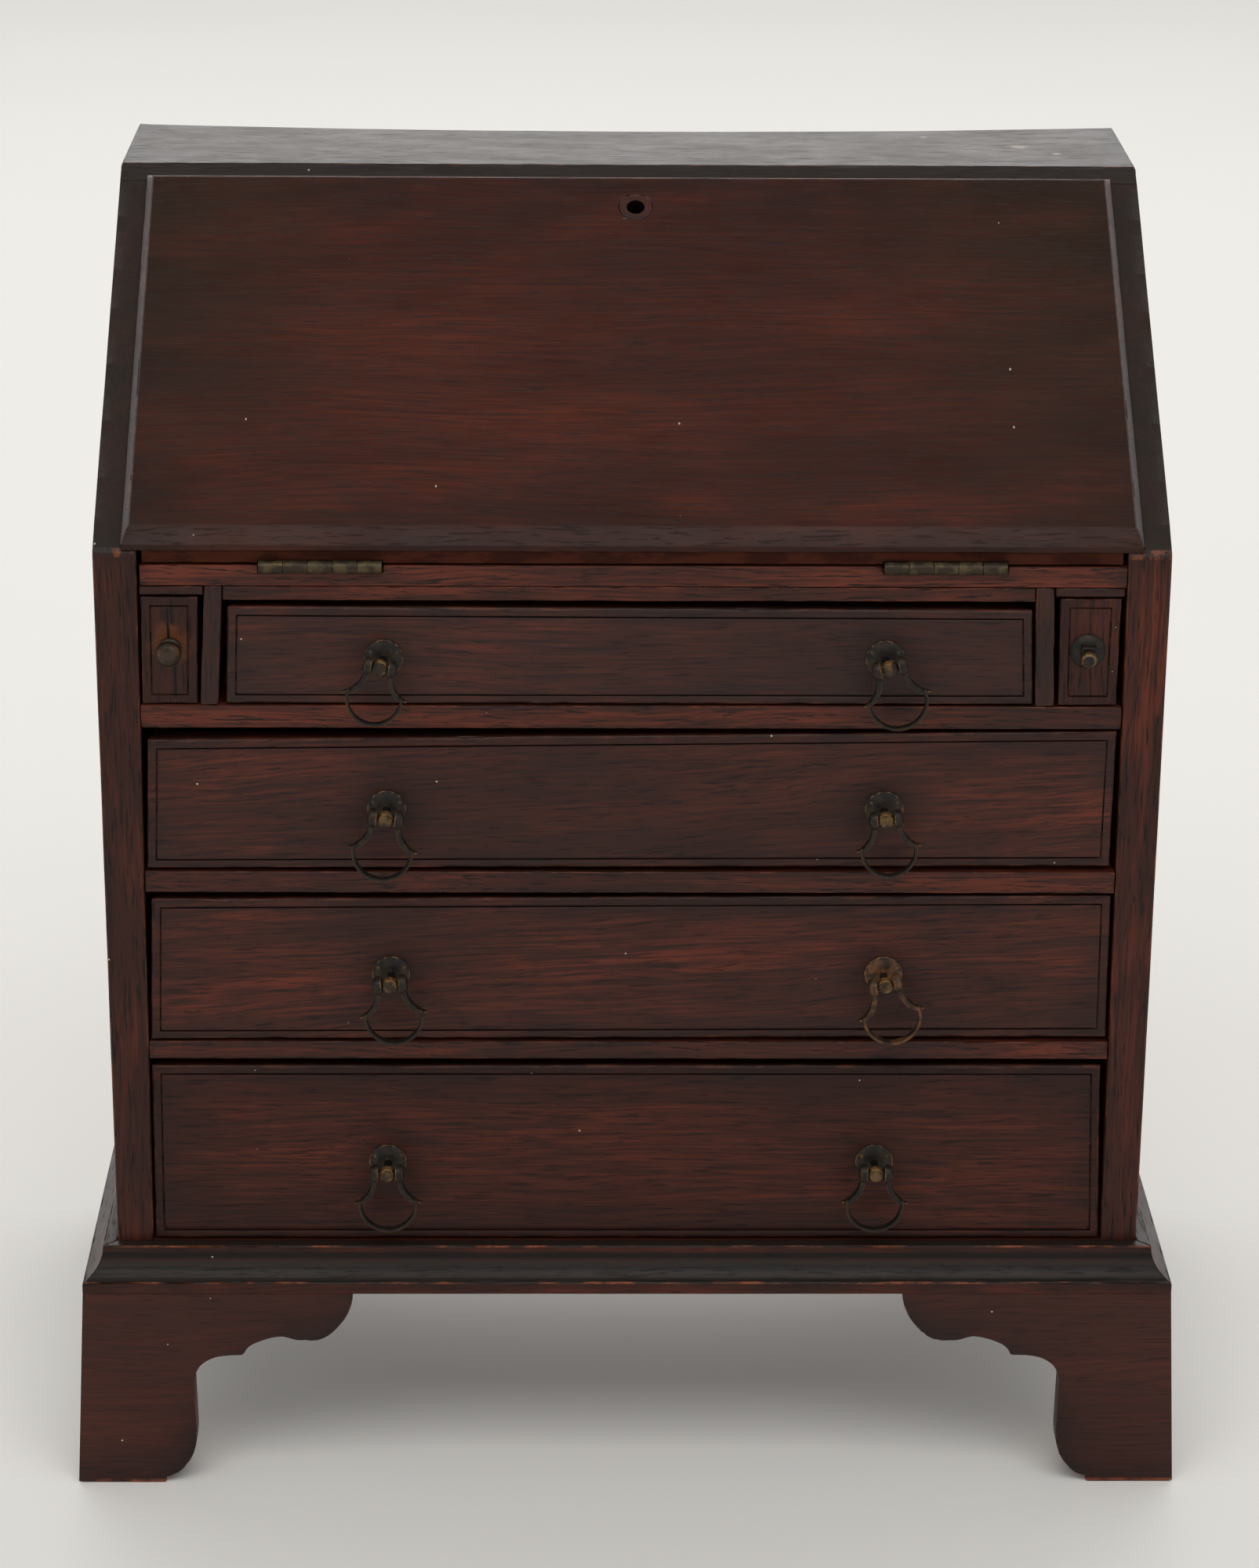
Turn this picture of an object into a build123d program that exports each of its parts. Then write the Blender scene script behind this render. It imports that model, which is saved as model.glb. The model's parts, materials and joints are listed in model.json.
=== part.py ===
"""Miniature slant-front bureau: a writing box with a hinged fall over four drawers."""

import os
from math import atan, cos, sin, sqrt, tan

from build123d import *

# ---------------------------------------------------------------- driving dimensions, mm
# Depths (Y) are given from the carcass front plane and moved to the part frame by FRONT_Y.
BODY_WIDTH = 222.0
BODY_DEPTH = 127.6
BODY_HEIGHT = 273.4

PLINTH_PROUD = 7.2
FOOT_HEIGHT = 45.1
FOOT_SPLAY = 2.2
FOOT_THICKNESS = 6.0
MITRE_GAP = 0.03

SIDE_INNER_TOP = 101.9
SIDE_INNER_FOOT = 103.1
BACK_THICKNESS = 4.0
TOP_THICKNESS = 3.0

SLOPE_START_Z = 211.0
TOP_FRONT_DEPTH = 85.7
NOSE_RADIUS = 2.6

BOTTOM_TOP_Z = 54.6
BOTTOM_THICKNESS = 4.0
RAIL_DEPTH = 15.0
DUST_THICKNESS = 3.0
RAIL_TOPS = (177.75, 140.7, 101.7)
RAIL_THICKNESSES = (5.05, 4.85, 4.15)
BOARD_TOP_Z = 208.2
BOARD_THICKNESS = 4.5
UPPER_RAIL_HEIGHT = 3.1
CAP_HEIGHT = 2.0

LIP_THICKNESS = 2.45
LIP_GAP = 0.05
LIP_HALF_WIDTH = 105.2
LIP_TOP = 101.5
LIP_BEVEL = 1.5
FALL_BODY_HALF_WIDTH = 100.9
FALL_BODY_TOP = 99.5
FALL_RECESS = 0.4
PLUMB_TOP_Z = 212.4
BOTTOM_BEVEL_TOP = 4.9

HINGE_X = 64.3
HINGE_LENGTH = 25.4
HINGE_AXIS_DEPTH = -0.5
HINGE_AXIS_Z = 208.0
BARREL_RADIUS = 1.35
PIN_RADIUS = 0.6
LEAF_THICKNESS = 0.6
LEAF_SET = 0.2
LEAF_START = 1.65
LEAF_END = 10.0
KNUCKLES = 5
RUNNING_GAP = 0.05

KEYHOLE_X = 1.2
KEYHOLE_SLOPE = 91.6
KEYHOLE_RADIUS = 1.9
BUSH_RADIUS = 3.7

DRAWER_FACE_DEPTH = 0.3
DRAWER_FRONT_THICKNESS = 5.0
DRAWER_SIDE_THICKNESS = 2.6
DRAWER_BACK_DEPTH = 117.0
DRAWER_BOTTOM_THICKNESS = 2.0
DRAWER_CLEARANCE = 0.15
INCISED_INSET = 1.9
INCISED_WIDTH = 0.3
FRONT_ROUNDING = 0.7

LOPER_BOTTOM_Z = 177.95
LOPER_TOP_Z = 201.3
LOPER_LENGTH = 116.0

PIVOT_PROUD = 5.8
ROSE_RADIUS = 4.1
BALL_RADIUS = 1.65
BALL_FLAT = 0.8
SHANK_RADIUS = 0.75
EAR_INNER = 1.75
EAR_WIDTH = 1.85
EAR_RADIUS = 1.95
PULL_PIN_RADIUS = 0.45
BAIL_DEPTH = 3.4
LOOP_RADIUS = 6.2
LOOP_DROP = 7.4
LOOP_BAND = 0.6

SHELF_UNDER_Z = 241.0
SHELF_THICKNESS = 2.2
UNIT_FRONT_DEPTH = 60.0
PARTITION_THICKNESS = 2.0
PARTITION_HOLLOW = 6.0
PIGEONHOLES = 6

STOP_X = 60.0
STOP_HEIGHT = 5.0
STOP_HALF_WIDTH = 6.0

BLOCK_SIZE = 11.0
BLOCK_BOTTOM_Z = 1.5
FRONT_BRACKET_LENGTH = 60.0
SIDE_BRACKET_LENGTH = 52.0
SIDE_STRETCH = 0.74
REAR_BOARD_LENGTH = 38.0

SCREW_STEP = 9.0
SCREW_ALONG_LEAF = 6.6
SCREW_RADIUS = 0.43
SCREW_HEAD = 0.5
SCREW_LENGTH = 2.8

# ---------------------------------------------------------------- derived values
FRONT_Y = -(BODY_DEPTH - PLINTH_PROUD - FOOT_SPLAY) / 2
HALF = BODY_WIDTH / 2
PLINTH_HALF = HALF + PLINTH_PROUD
INNER_DEPTH = BODY_DEPTH - BACK_THICKNESS
SIDE_TOP_Z = BODY_HEIGHT - TOP_THICKNESS
SLOPE = atan((BODY_HEIGHT - SLOPE_START_Z) / TOP_FRONT_DEPTH)
FALL_BODY_DEPTH = LEAF_SET + (SLOPE_START_Z - HINGE_AXIS_Z) * cos(SLOPE) + HINGE_AXIS_DEPTH * sin(SLOPE)
BOARD_UNDER_Z = BOARD_TOP_Z - BOARD_THICKNESS
FACE_INNER_DEPTH = DRAWER_FACE_DEPTH + DRAWER_FRONT_THICKNESS
DOWNWARD = (Align.CENTER, Align.CENTER, Align.MAX)

# Each drawer front is a slightly uneven quadrilateral: x and z of its four corners,
# bottom left first and counter-clockwise.
DRAWER_CORNERS = {
    "drawer_1": ((-84.4, 177.95), (83.6, 177.95), (82.7, 198.8), (-83.7, 199.3)),
    "drawer_2": ((-102.0, 141.1), (101.2, 141.9), (101.4, 172.3), (-101.0, 170.0)),
    "drawer_3": ((-102.3, 101.9), (102.2, 102.6), (101.9, 135.4), (-101.3, 134.3)),
    "drawer_4": ((-102.8, 54.8), (102.8, 54.8), (101.4, 96.0), (-102.4, 95.9)),
}
# Pull pivots of each drawer: left x, right x, z.
PULLS = {
    "drawer_1": (-51.5, 52.4, 188.1),
    "drawer_2": (-51.3, 53.1, 154.8),
    "drawer_3": (-50.8, 54.0, 117.3),
    "drawer_4": (-52.0, 53.2, 73.3),
}
DRAWER_FLOORS = dict(zip(PULLS, (*RAIL_TOPS, BOTTOM_TOP_Z)))

# Dividers beside the top drawer lean a little: x range at the top, x range at the foot.
DIVIDERS = {
    "left": ((-88.3, -84.5), (-89.7, -85.9)),
    "right": ((83.1, 87.0), (83.9, 87.9)),
}
# Loper faces: x range at the top, x range at the foot.
LOPERS = {
    "left": ((-101.5, -89.6), (-101.7, -90.2)),
    "right": ((88.3, 101.0), (88.7, 100.9)),
}
LOPER_KNOB_X = {"left": -95.6, "right": 94.8}
LOPER_KNOB_Z = 190.1


# ---------------------------------------------------------------- helpers
def front_plane(depth):
    """Upright plane across the bureau, with x to the right and z up, facing forwards."""
    return Plane(origin=(0, FRONT_Y + depth, 0), x_dir=(1, 0, 0), z_dir=(0, -1, 0))


def side_plane(x=0.0):
    """Upright plane along the bureau's depth: local x is the depth, local y is the height."""
    return Plane(origin=(x, FRONT_Y, 0), x_dir=(0, 1, 0), z_dir=(1, 0, 0))


def plan_plane(z):
    """Level plane: local x across, local y the depth from the front plane."""
    return Plane(origin=(0, FRONT_Y, z), x_dir=(1, 0, 0), z_dir=(0, 0, 1))


def slope_plane():
    """Plane of the slanted desk front: local y runs up the slope, local z points outwards."""
    return Plane(origin=(0, FRONT_Y, SLOPE_START_Z), x_dir=(1, 0, 0), z_dir=(0, -sin(SLOPE), cos(SLOPE)))


def on_slope(along, out):
    """Depth and height of a point given by its distance up the slope and out of it."""
    depth = along * cos(SLOPE) - out * sin(SLOPE)
    height = SLOPE_START_Z + along * sin(SLOPE) + out * cos(SLOPE)
    return depth, height


def inner_half(z):
    """Half of the clear width between the carcass sides at height z."""
    share = (z - BOTTOM_TOP_Z) / (BOARD_TOP_Z - BOTTOM_TOP_Z)
    return SIDE_INNER_FOOT + share * (SIDE_INNER_TOP - SIDE_INNER_FOOT)


def board(x_range, depth_range, z_range, mode=Mode.ADD):
    """A plain rectangular board in the open part, from its three ranges."""
    spans = (x_range, depth_range, z_range)
    centre = [(low + high) / 2 for low, high in spans]
    centre[1] += FRONT_Y
    with Locations(tuple(centre)):
        Box(*(high - low for low, high in spans), mode=mode)


def save(builder, name):
    """Label a finished piece and write its STEP file."""
    builder.part.label = name
    export_step(builder.part, f"parts/{name}.step")


# ---------------------------------------------------------------- carcass
def make_side(name, sign):
    """A carcass side: slanted above, thinner towards the foot, with a rounded nose."""
    slope_top = (SIDE_TOP_Z - SLOPE_START_Z) / tan(SLOPE)
    with BuildPart() as side:
        with BuildSketch(side_plane()):
            with BuildLine():
                nose = [(0, FOOT_HEIGHT), (0, SLOPE_START_Z), (slope_top, SIDE_TOP_Z)]
                FilletPolyline(*nose, radius=NOSE_RADIUS)
                Polyline(nose[-1], (BODY_DEPTH, SIDE_TOP_Z), (BODY_DEPTH, FOOT_HEIGHT), nose[0])
            make_face()
        extrude(amount=sign * HALF)
        with BuildSketch(front_plane(0)):
            low = (sign * inner_half(FOOT_HEIGHT), FOOT_HEIGHT)
            high = (sign * inner_half(SIDE_TOP_Z), SIDE_TOP_Z)
            with BuildLine():
                Polyline(low, high, (sign * HALF, SIDE_TOP_Z), (sign * HALF, FOOT_HEIGHT), close=True)
            make_face()
        extrude(amount=-BODY_DEPTH, mode=Mode.INTERSECT)
    save(side, name)


def make_top_board():
    """The top, lying on the sides, with its front edge planed to the slope."""
    with BuildPart() as top_board:
        with BuildSketch(side_plane()):
            edge_run = TOP_THICKNESS / tan(SLOPE)
            with BuildLine():
                Polyline(
                    (TOP_FRONT_DEPTH, BODY_HEIGHT),
                    (BODY_DEPTH, BODY_HEIGHT),
                    (BODY_DEPTH, SIDE_TOP_Z),
                    (TOP_FRONT_DEPTH - edge_run, SIDE_TOP_Z),
                    close=True,
                )
            make_face()
        extrude(amount=HALF, both=True)
        upper_edges = top_board.edges().group_by(Axis.Z)[-1]
        fillet(upper_edges, radius=0.5)
    save(top_board, "top_board")


def make_plain_boards():
    """Back, bottom and the writing board, all let in between the sides."""
    back_half = inner_half(SIDE_TOP_Z)
    bottom_under = BOTTOM_TOP_Z - BOTTOM_THICKNESS
    with BuildPart() as backboard:
        board((-back_half, back_half), (INNER_DEPTH, BODY_DEPTH), (bottom_under, SIDE_TOP_Z))
    save(backboard, "backboard")

    bottom_half = inner_half(BOTTOM_TOP_Z)
    with BuildPart() as bottom_board:
        board((-bottom_half, bottom_half), (0, INNER_DEPTH), (bottom_under, BOTTOM_TOP_Z))
    save(bottom_board, "bottom_board")

    bed_half = inner_half(BOARD_TOP_Z)
    with BuildPart() as writing_board:
        board((-bed_half + 0.5, bed_half - 0.1), (0, INNER_DEPTH), (BOARD_UNDER_Z, BOARD_TOP_Z))
        front_edges = writing_board.edges().filter_by(Axis.X).group_by(Axis.Y)[0]
        fillet(front_edges, radius=0.3)
        hinge_pockets(hinge_frame(False))
    save(writing_board, "writing_board")


def make_dividers_and_guides():
    """Leaning dividers beside the top drawer, the rail between them and the loper cap strips."""
    with BuildPart() as loper_dividers:
        for top, foot in DIVIDERS.values():
            with BuildSketch(front_plane(0)):
                with BuildLine():
                    Polyline(
                        (foot[0], RAIL_TOPS[0]),
                        (foot[1], RAIL_TOPS[0]),
                        (top[1], BOARD_UNDER_Z),
                        (top[0], BOARD_UNDER_Z),
                        close=True,
                    )
                make_face()
            extrude(amount=-INNER_DEPTH)
    save(loper_dividers, "loper_dividers")

    with BuildPart() as upper_rail:
        rail_x = (DIVIDERS["left"][0][1], DIVIDERS["right"][0][0])
        board(rail_x, (0, RAIL_DEPTH), (BOARD_UNDER_Z - UPPER_RAIL_HEIGHT, BOARD_UNDER_Z))
    save(upper_rail, "upper_rail")

    with BuildPart() as loper_caps:
        for side, sign in (("left", -1), ("right", 1)):
            inner = max(abs(x) for x in DIVIDERS[side][0]) + 0.15
            outer = inner_half(BOARD_UNDER_Z) - 0.3
            cap_x = tuple(sorted((sign * inner, sign * outer)))
            board(cap_x, (0, INNER_DEPTH), (BOARD_UNDER_Z - CAP_HEIGHT, BOARD_UNDER_Z))
    save(loper_caps, "loper_caps")


def make_rails():
    """Three drawer rails across the front, the dust boards behind them and the drawer stops."""
    with BuildPart() as drawer_rails:
        for top_z, thickness in zip(RAIL_TOPS, RAIL_THICKNESSES):
            half = inner_half(top_z)
            board((-half, half), (0, RAIL_DEPTH), (top_z - thickness, top_z))
    save(drawer_rails, "drawer_rails")

    with BuildPart() as dust_boards:
        for top_z in RAIL_TOPS:
            half = inner_half(top_z)
            board((-half, half), (RAIL_DEPTH, INNER_DEPTH), (top_z - DUST_THICKNESS, top_z))
    save(dust_boards, "dust_boards")

    with BuildPart() as drawer_stops:
        for floor_z in DRAWER_FLOORS.values():
            for centre_x in (-STOP_X, STOP_X):
                stop_x = (centre_x - STOP_HALF_WIDTH, centre_x + STOP_HALF_WIDTH)
                board(stop_x, (DRAWER_BACK_DEPTH + 0.2, INNER_DEPTH), (floor_z, floor_z + STOP_HEIGHT))
    save(drawer_stops, "drawer_stops")


def make_pigeonholes():
    """A shelf on upright partitions with hollowed front edges, at the back of the desk space."""
    shelf_z = (SHELF_UNDER_Z, SHELF_UNDER_Z + SHELF_THICKNESS)
    shelf_half = inner_half(shelf_z[1])
    with BuildPart() as pigeonhole_shelf:
        board((-shelf_half, shelf_half), (UNIT_FRONT_DEPTH, INNER_DEPTH), shelf_z)
    save(pigeonhole_shelf, "pigeonhole_shelf")

    half = inner_half(BOARD_TOP_Z)
    mid_z = (BOARD_TOP_Z + SHELF_UNDER_Z) / 2
    with BuildPart() as pigeonhole_partitions:
        for index in range(1, PIGEONHOLES):
            x = -half + index * 2 * half / PIGEONHOLES
            with BuildSketch(side_plane(x - PARTITION_THICKNESS / 2)):
                with BuildLine():
                    ThreePointArc(
                        (UNIT_FRONT_DEPTH, BOARD_TOP_Z),
                        (UNIT_FRONT_DEPTH + PARTITION_HOLLOW, mid_z),
                        (UNIT_FRONT_DEPTH, SHELF_UNDER_Z),
                    )
                    Polyline(
                        (UNIT_FRONT_DEPTH, SHELF_UNDER_Z),
                        (INNER_DEPTH, SHELF_UNDER_Z),
                        (INNER_DEPTH, BOARD_TOP_Z),
                        (UNIT_FRONT_DEPTH, BOARD_TOP_Z),
                    )
                make_face()
            extrude(amount=PARTITION_THICKNESS)
    save(pigeonhole_partitions, "pigeonhole_partitions")


# ---------------------------------------------------------------- plinth and feet
def plinth_outline():
    """Section of the plinth moulding, outwards from the carcass: (distance out, height)."""
    ledge = 3.0
    fillet_z = FOOT_HEIGHT + 2.3
    with BuildLine() as outline:
        Line((0, FOOT_HEIGHT), (0, BOTTOM_TOP_Z))
        Line((0, BOTTOM_TOP_Z), (ledge - 0.4, BOTTOM_TOP_Z))
        ThreePointArc(
            (ledge - 0.4, BOTTOM_TOP_Z), (ledge - 0.12, BOTTOM_TOP_Z - 0.12), (ledge, BOTTOM_TOP_Z - 0.4)
        )
        ThreePointArc(
            (ledge, BOTTOM_TOP_Z - 0.4), (4.0, BOTTOM_TOP_Z - 4.1), (PLINTH_PROUD - 0.6, fillet_z + 0.5)
        )
        ThreePointArc(
            (PLINTH_PROUD - 0.6, fillet_z + 0.5),
            (PLINTH_PROUD - 0.12, fillet_z + 0.3),
            (PLINTH_PROUD, fillet_z - 0.3),
        )
        Line((PLINTH_PROUD, fillet_z - 0.3), (PLINTH_PROUD, FOOT_HEIGHT))
        Line((PLINTH_PROUD, FOOT_HEIGHT), (0, FOOT_HEIGHT))
    return outline.line


def make_plinth():
    """Moulding round the front and both sides of the carcass, mitred at the front corners."""
    section = plinth_outline()
    with BuildPart() as plinth_front:
        front_section = Plane(origin=(0, FRONT_Y, 0), x_dir=(0, -1, 0), z_dir=(-1, 0, 0))
        with BuildSketch(front_section):
            add(section)
            make_face()
        extrude(amount=PLINTH_HALF, both=True)
        with BuildSketch(plan_plane(FOOT_HEIGHT)):
            with BuildLine():
                Polyline(
                    (-HALF, 0),
                    (-PLINTH_HALF, -PLINTH_PROUD),
                    (PLINTH_HALF, -PLINTH_PROUD),
                    (HALF, 0),
                    close=True,
                )
            make_face()
        extrude(amount=BOTTOM_TOP_Z, mode=Mode.INTERSECT)
    save(plinth_front, "plinth_front")

    with BuildPart() as plinth_sides:
        side_section = Plane(origin=(HALF, FRONT_Y + BODY_DEPTH, 0), x_dir=(1, 0, 0), z_dir=(0, -1, 0))
        with BuildSketch(side_section):
            add(section)
            make_face()
        extrude(amount=BODY_DEPTH + PLINTH_PROUD)
        with BuildSketch(plan_plane(FOOT_HEIGHT)):
            with BuildLine():
                Polyline(
                    (HALF, 0),
                    (PLINTH_HALF, -PLINTH_PROUD),
                    (PLINTH_HALF, BODY_DEPTH),
                    (HALF, BODY_DEPTH),
                    close=True,
                )
            make_face()
        extrude(amount=BOTTOM_TOP_Z, mode=Mode.INTERSECT)
        mirror(about=Plane.YZ)
    save(plinth_sides, "plinth_sides")


def bracket_outline(stretch):
    """Face outline of a bracket foot from its outer corner inwards: (distance in, height).

    The first lobe and the ogee are drawn in full width for a stretch of 1.
    """
    ankle = 24.0

    def inwards(distance):
        return ankle + (distance - ankle) * stretch

    with BuildLine() as outline:
        Line((-6, 0), (17.0, 0))
        Line((17.0, 0), (17.2, 1.4))
        Spline((17.2, 1.4), (21.6, 4.2), (ankle, 12.0), tangents=((1, 0.15), (0, 1)))
        Line((ankle, 12.0), (23.7, 24.0))
        Spline((23.7, 24.0), (26.4, 28.9), (inwards(34.6), 30.4), tangents=((0, 1), (1, 0)))
        Spline(
            (inwards(34.6), 30.4),
            (inwards(37.5), 33.4),
            (inwards(43.0), 34.8),
            (inwards(49.0), 33.8),
            tangents=((0.25, 1), (1, 0)),
        )
        Spline(
            (inwards(49.0), 33.8),
            (inwards(54.8), 36.6),
            (inwards(58.6), FOOT_HEIGHT),
            tangents=((1, 0), (0.05, 1)),
        )
        Line((inwards(58.6), FOOT_HEIGHT), (-6, FOOT_HEIGHT))
        Line((-6, FOOT_HEIGHT), (-6, 0))
    return outline.line


def leg_plan(splay, length):
    """Plan of one leg of a bracket foot with a mitred outer end: (in from the corner, back)."""
    inner = FOOT_THICKNESS - splay
    return [(MITRE_GAP - splay, -splay), (length, -splay), (length, inner), (inner + MITRE_GAP, inner)]


def front_bracket():
    """The front-facing leg of the right front foot: splayed, sawn to the bracket outline."""
    corner_top = Plane(
        origin=(PLINTH_HALF, FRONT_Y - PLINTH_PROUD, FOOT_HEIGHT), x_dir=(-1, 0, 0), z_dir=(0, 0, -1)
    )
    corner_foot = corner_top.offset(FOOT_HEIGHT)
    with BuildPart() as bracket:
        for plane, splay in ((corner_top, 0.0), (corner_foot, FOOT_SPLAY)):
            with BuildSketch(plane):
                with BuildLine():
                    Polyline(*leg_plan(splay, FRONT_BRACKET_LENGTH), close=True)
                make_face()
        loft(ruled=True)
        face_plane = Plane(
            origin=(PLINTH_HALF, FRONT_Y - PLINTH_PROUD - 10, 0), x_dir=(-1, 0, 0), z_dir=(0, 1, 0)
        )
        with BuildSketch(face_plane):
            add(bracket_outline(1.0))
            make_face()
        extrude(amount=30, mode=Mode.INTERSECT)
    return bracket.part


def side_bracket(rear):
    """The side-facing leg of a right foot; at the rear it ends square, level with the back."""
    direction = -1 if rear else 1
    corner_y = FRONT_Y + (BODY_DEPTH if rear else -PLINTH_PROUD)
    corner_top = Plane(
        origin=(PLINTH_HALF, corner_y, FOOT_HEIGHT), x_dir=(0, direction, 0), z_dir=(0, 0, direction)
    )
    corner_foot = corner_top.offset(-direction * FOOT_HEIGHT)
    with BuildPart() as bracket:
        for plane, splay in ((corner_top, 0.0), (corner_foot, FOOT_SPLAY)):
            outline = leg_plan(splay, SIDE_BRACKET_LENGTH)
            if rear:
                outline[0] = (0, -splay)
                outline[3] = (0, FOOT_THICKNESS - splay)
            with BuildSketch(plane):
                with BuildLine():
                    Polyline(*outline, close=True)
                make_face()
        loft(ruled=True)
        face_origin = (PLINTH_HALF - 20 * direction, corner_y, 0)
        with BuildSketch(Plane(origin=face_origin, x_dir=(0, direction, 0), z_dir=(direction, 0, 0))):
            add(bracket_outline(SIDE_STRETCH))
            make_face()
        extrude(amount=40, mode=Mode.INTERSECT)
    return bracket.part


def back_bracket():
    """Plain shaped board behind the right rear foot, under the back edge of the carcass."""
    outer = PLINTH_HALF - FOOT_THICKNESS
    inner = outer - REAR_BOARD_LENGTH
    with BuildPart() as bracket:
        with BuildSketch(front_plane(BODY_DEPTH)):
            with BuildLine():
                Polyline((outer - 14, 0), (outer, 0), (outer, FOOT_HEIGHT), (inner, FOOT_HEIGHT), (inner, 37))
                ThreePointArc((inner, 37), (outer - 19.5, 25), (outer - 14, 0))
            make_face()
        extrude(amount=FOOT_THICKNESS - 1)
    return bracket.part


def make_feet():
    """Four bracket feet, each of two pieces, with square glue blocks in their corners."""
    feet = {
        "foot_front": (front_bracket(), side_bracket(rear=False)),
        "foot_rear": (side_bracket(rear=True), back_bracket()),
    }
    for name, pieces in feet.items():
        with BuildPart() as right_foot:
            for piece in pieces:
                add(piece)
        save(right_foot, f"{name}_right")
        with BuildPart() as left_foot:
            mirror(right_foot.part, about=Plane.YZ)
        save(left_foot, f"{name}_left")

    outer = PLINTH_HALF - FOOT_THICKNESS - 0.05
    rear = BODY_DEPTH - FOOT_THICKNESS + 0.95
    front = FOOT_THICKNESS - PLINTH_PROUD + 0.05
    with BuildPart() as foot_blocks:
        for sign in (-1, 1):
            block_x = tuple(sorted((sign * (outer - BLOCK_SIZE), sign * outer)))
            board(block_x, (front, front + BLOCK_SIZE), (BLOCK_BOTTOM_Z, FOOT_HEIGHT))
            board(block_x, (rear - BLOCK_SIZE, rear), (BLOCK_BOTTOM_Z, FOOT_HEIGHT))
        chamfer(foot_blocks.edges().filter_by(Axis.Z), length=0.6)
    save(foot_blocks, "foot_blocks")


# ---------------------------------------------------------------- fall and its hinges
def hinge_frame(on_fall):
    """Frame on the hinge axis: local y runs along the leaf, local z out of its showing face."""
    origin = (0, FRONT_Y + HINGE_AXIS_DEPTH, HINGE_AXIS_Z)
    if on_fall:
        return Plane(origin=origin, x_dir=(-1, 0, 0), z_dir=(0, sin(SLOPE), -cos(SLOPE)))
    return Plane(origin=origin, x_dir=(1, 0, 0), z_dir=(0, 0, 1))


def leaf_screws(frame):
    """Places of the leaf screws, with z out of the leaf's showing face."""
    places = [sign * HINGE_X + step * SCREW_STEP for sign in (-1, 1) for step in (-1, 0, 1)]
    return [frame.location * Location((x, SCREW_ALONG_LEAF, LEAF_SET)) for x in places]


def hinge_pockets(frame):
    """Cut the open wooden part for the leaves, the barrels and the screw shanks."""
    for sign in (-1, 1):
        with BuildSketch(frame.offset(LEAF_SET - LEAF_THICKNESS)) as pocket:
            with Locations((sign * HINGE_X, (LEAF_END - 3) / 2 + 0.05)):
                Rectangle(HINGE_LENGTH + 0.2, LEAF_END + 3)
        extrude(pocket.sketch, amount=4, mode=Mode.SUBTRACT)
        with Locations((sign * HINGE_X, *tuple(frame.origin)[1:])):
            Cylinder(BARREL_RADIUS + 0.2, HINGE_LENGTH + 0.4, rotation=(0, 90, 0), mode=Mode.SUBTRACT)
    with Locations(*leaf_screws(frame)):
        Cylinder(SCREW_RADIUS + 0.04, SCREW_LENGTH + 0.4, align=DOWNWARD, mode=Mode.SUBTRACT)


def make_leaves(name, frame, knuckles, bore):
    """The two hinge leaves on one side of the joint, with their own knuckles of the barrel."""
    knuckle_length = HINGE_LENGTH / KNUCKLES
    with BuildPart() as leaves:
        for sign in (-1, 1):
            with BuildSketch(frame.offset(LEAF_SET - LEAF_THICKNESS)):
                with Locations((sign * HINGE_X, (LEAF_START + LEAF_END) / 2)):
                    Rectangle(HINGE_LENGTH, LEAF_END - LEAF_START)
                for index in knuckles:
                    x = sign * HINGE_X + (index - (KNUCKLES - 1) / 2) * knuckle_length
                    with Locations((x, LEAF_START / 2)):
                        Rectangle(knuckle_length - 2 * RUNNING_GAP, LEAF_START)
            extrude(amount=LEAF_THICKNESS)
        axis_point = tuple(frame.origin)[1:]
        for sign in (-1, 1):
            for index in knuckles:
                x = sign * HINGE_X + (index - (KNUCKLES - 1) / 2) * knuckle_length
                with Locations((x, *axis_point)):
                    Cylinder(BARREL_RADIUS, knuckle_length - 2 * RUNNING_GAP, rotation=(0, 90, 0))
            with Locations((sign * HINGE_X, *axis_point)):
                Cylinder(bore, HINGE_LENGTH + 1, rotation=(0, 90, 0), mode=Mode.SUBTRACT)
        with Locations(*leaf_screws(frame)):
            hole = SCREW_RADIUS + 0.04
            Cone(hole, hole + SCREW_HEAD, SCREW_HEAD, align=DOWNWARD, mode=Mode.SUBTRACT)
            Cylinder(hole, 3 * LEAF_THICKNESS, mode=Mode.SUBTRACT)
    save(leaves, name)


def make_leaf_screws(name, frame):
    """Countersunk, slotted screws that hold the leaves to the wood."""
    with BuildPart() as screws:
        with Locations(*leaf_screws(frame)):
            Cone(SCREW_RADIUS, SCREW_RADIUS + SCREW_HEAD, SCREW_HEAD, align=DOWNWARD)
            Cylinder(SCREW_RADIUS, SCREW_LENGTH, align=DOWNWARD)
            Box(2.2, 0.24, 0.36, mode=Mode.SUBTRACT)
    save(screws, name)


def make_hinges():
    """Two butt hinges: leaves let into the writing board and the fall, pins and screws."""
    bed_knuckles = range(0, KNUCKLES, 2)
    fall_knuckles = range(1, KNUCKLES, 2)
    make_leaves("hinge_bed_leaves", hinge_frame(False), bed_knuckles, PIN_RADIUS + 0.01)
    make_leaves("hinge_fall_leaves", hinge_frame(True), fall_knuckles, PIN_RADIUS + RUNNING_GAP)
    make_leaf_screws("hinge_bed_screws", hinge_frame(False))
    make_leaf_screws("hinge_fall_screws", hinge_frame(True))
    with BuildPart() as hinge_pins:
        with Locations(*((sign * HINGE_X, FRONT_Y + HINGE_AXIS_DEPTH, HINGE_AXIS_Z) for sign in (-1, 1))):
            Cylinder(PIN_RADIUS, HINGE_LENGTH - 0.1, rotation=(0, 90, 0))
    save(hinge_pins, "hinge_pins")


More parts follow.
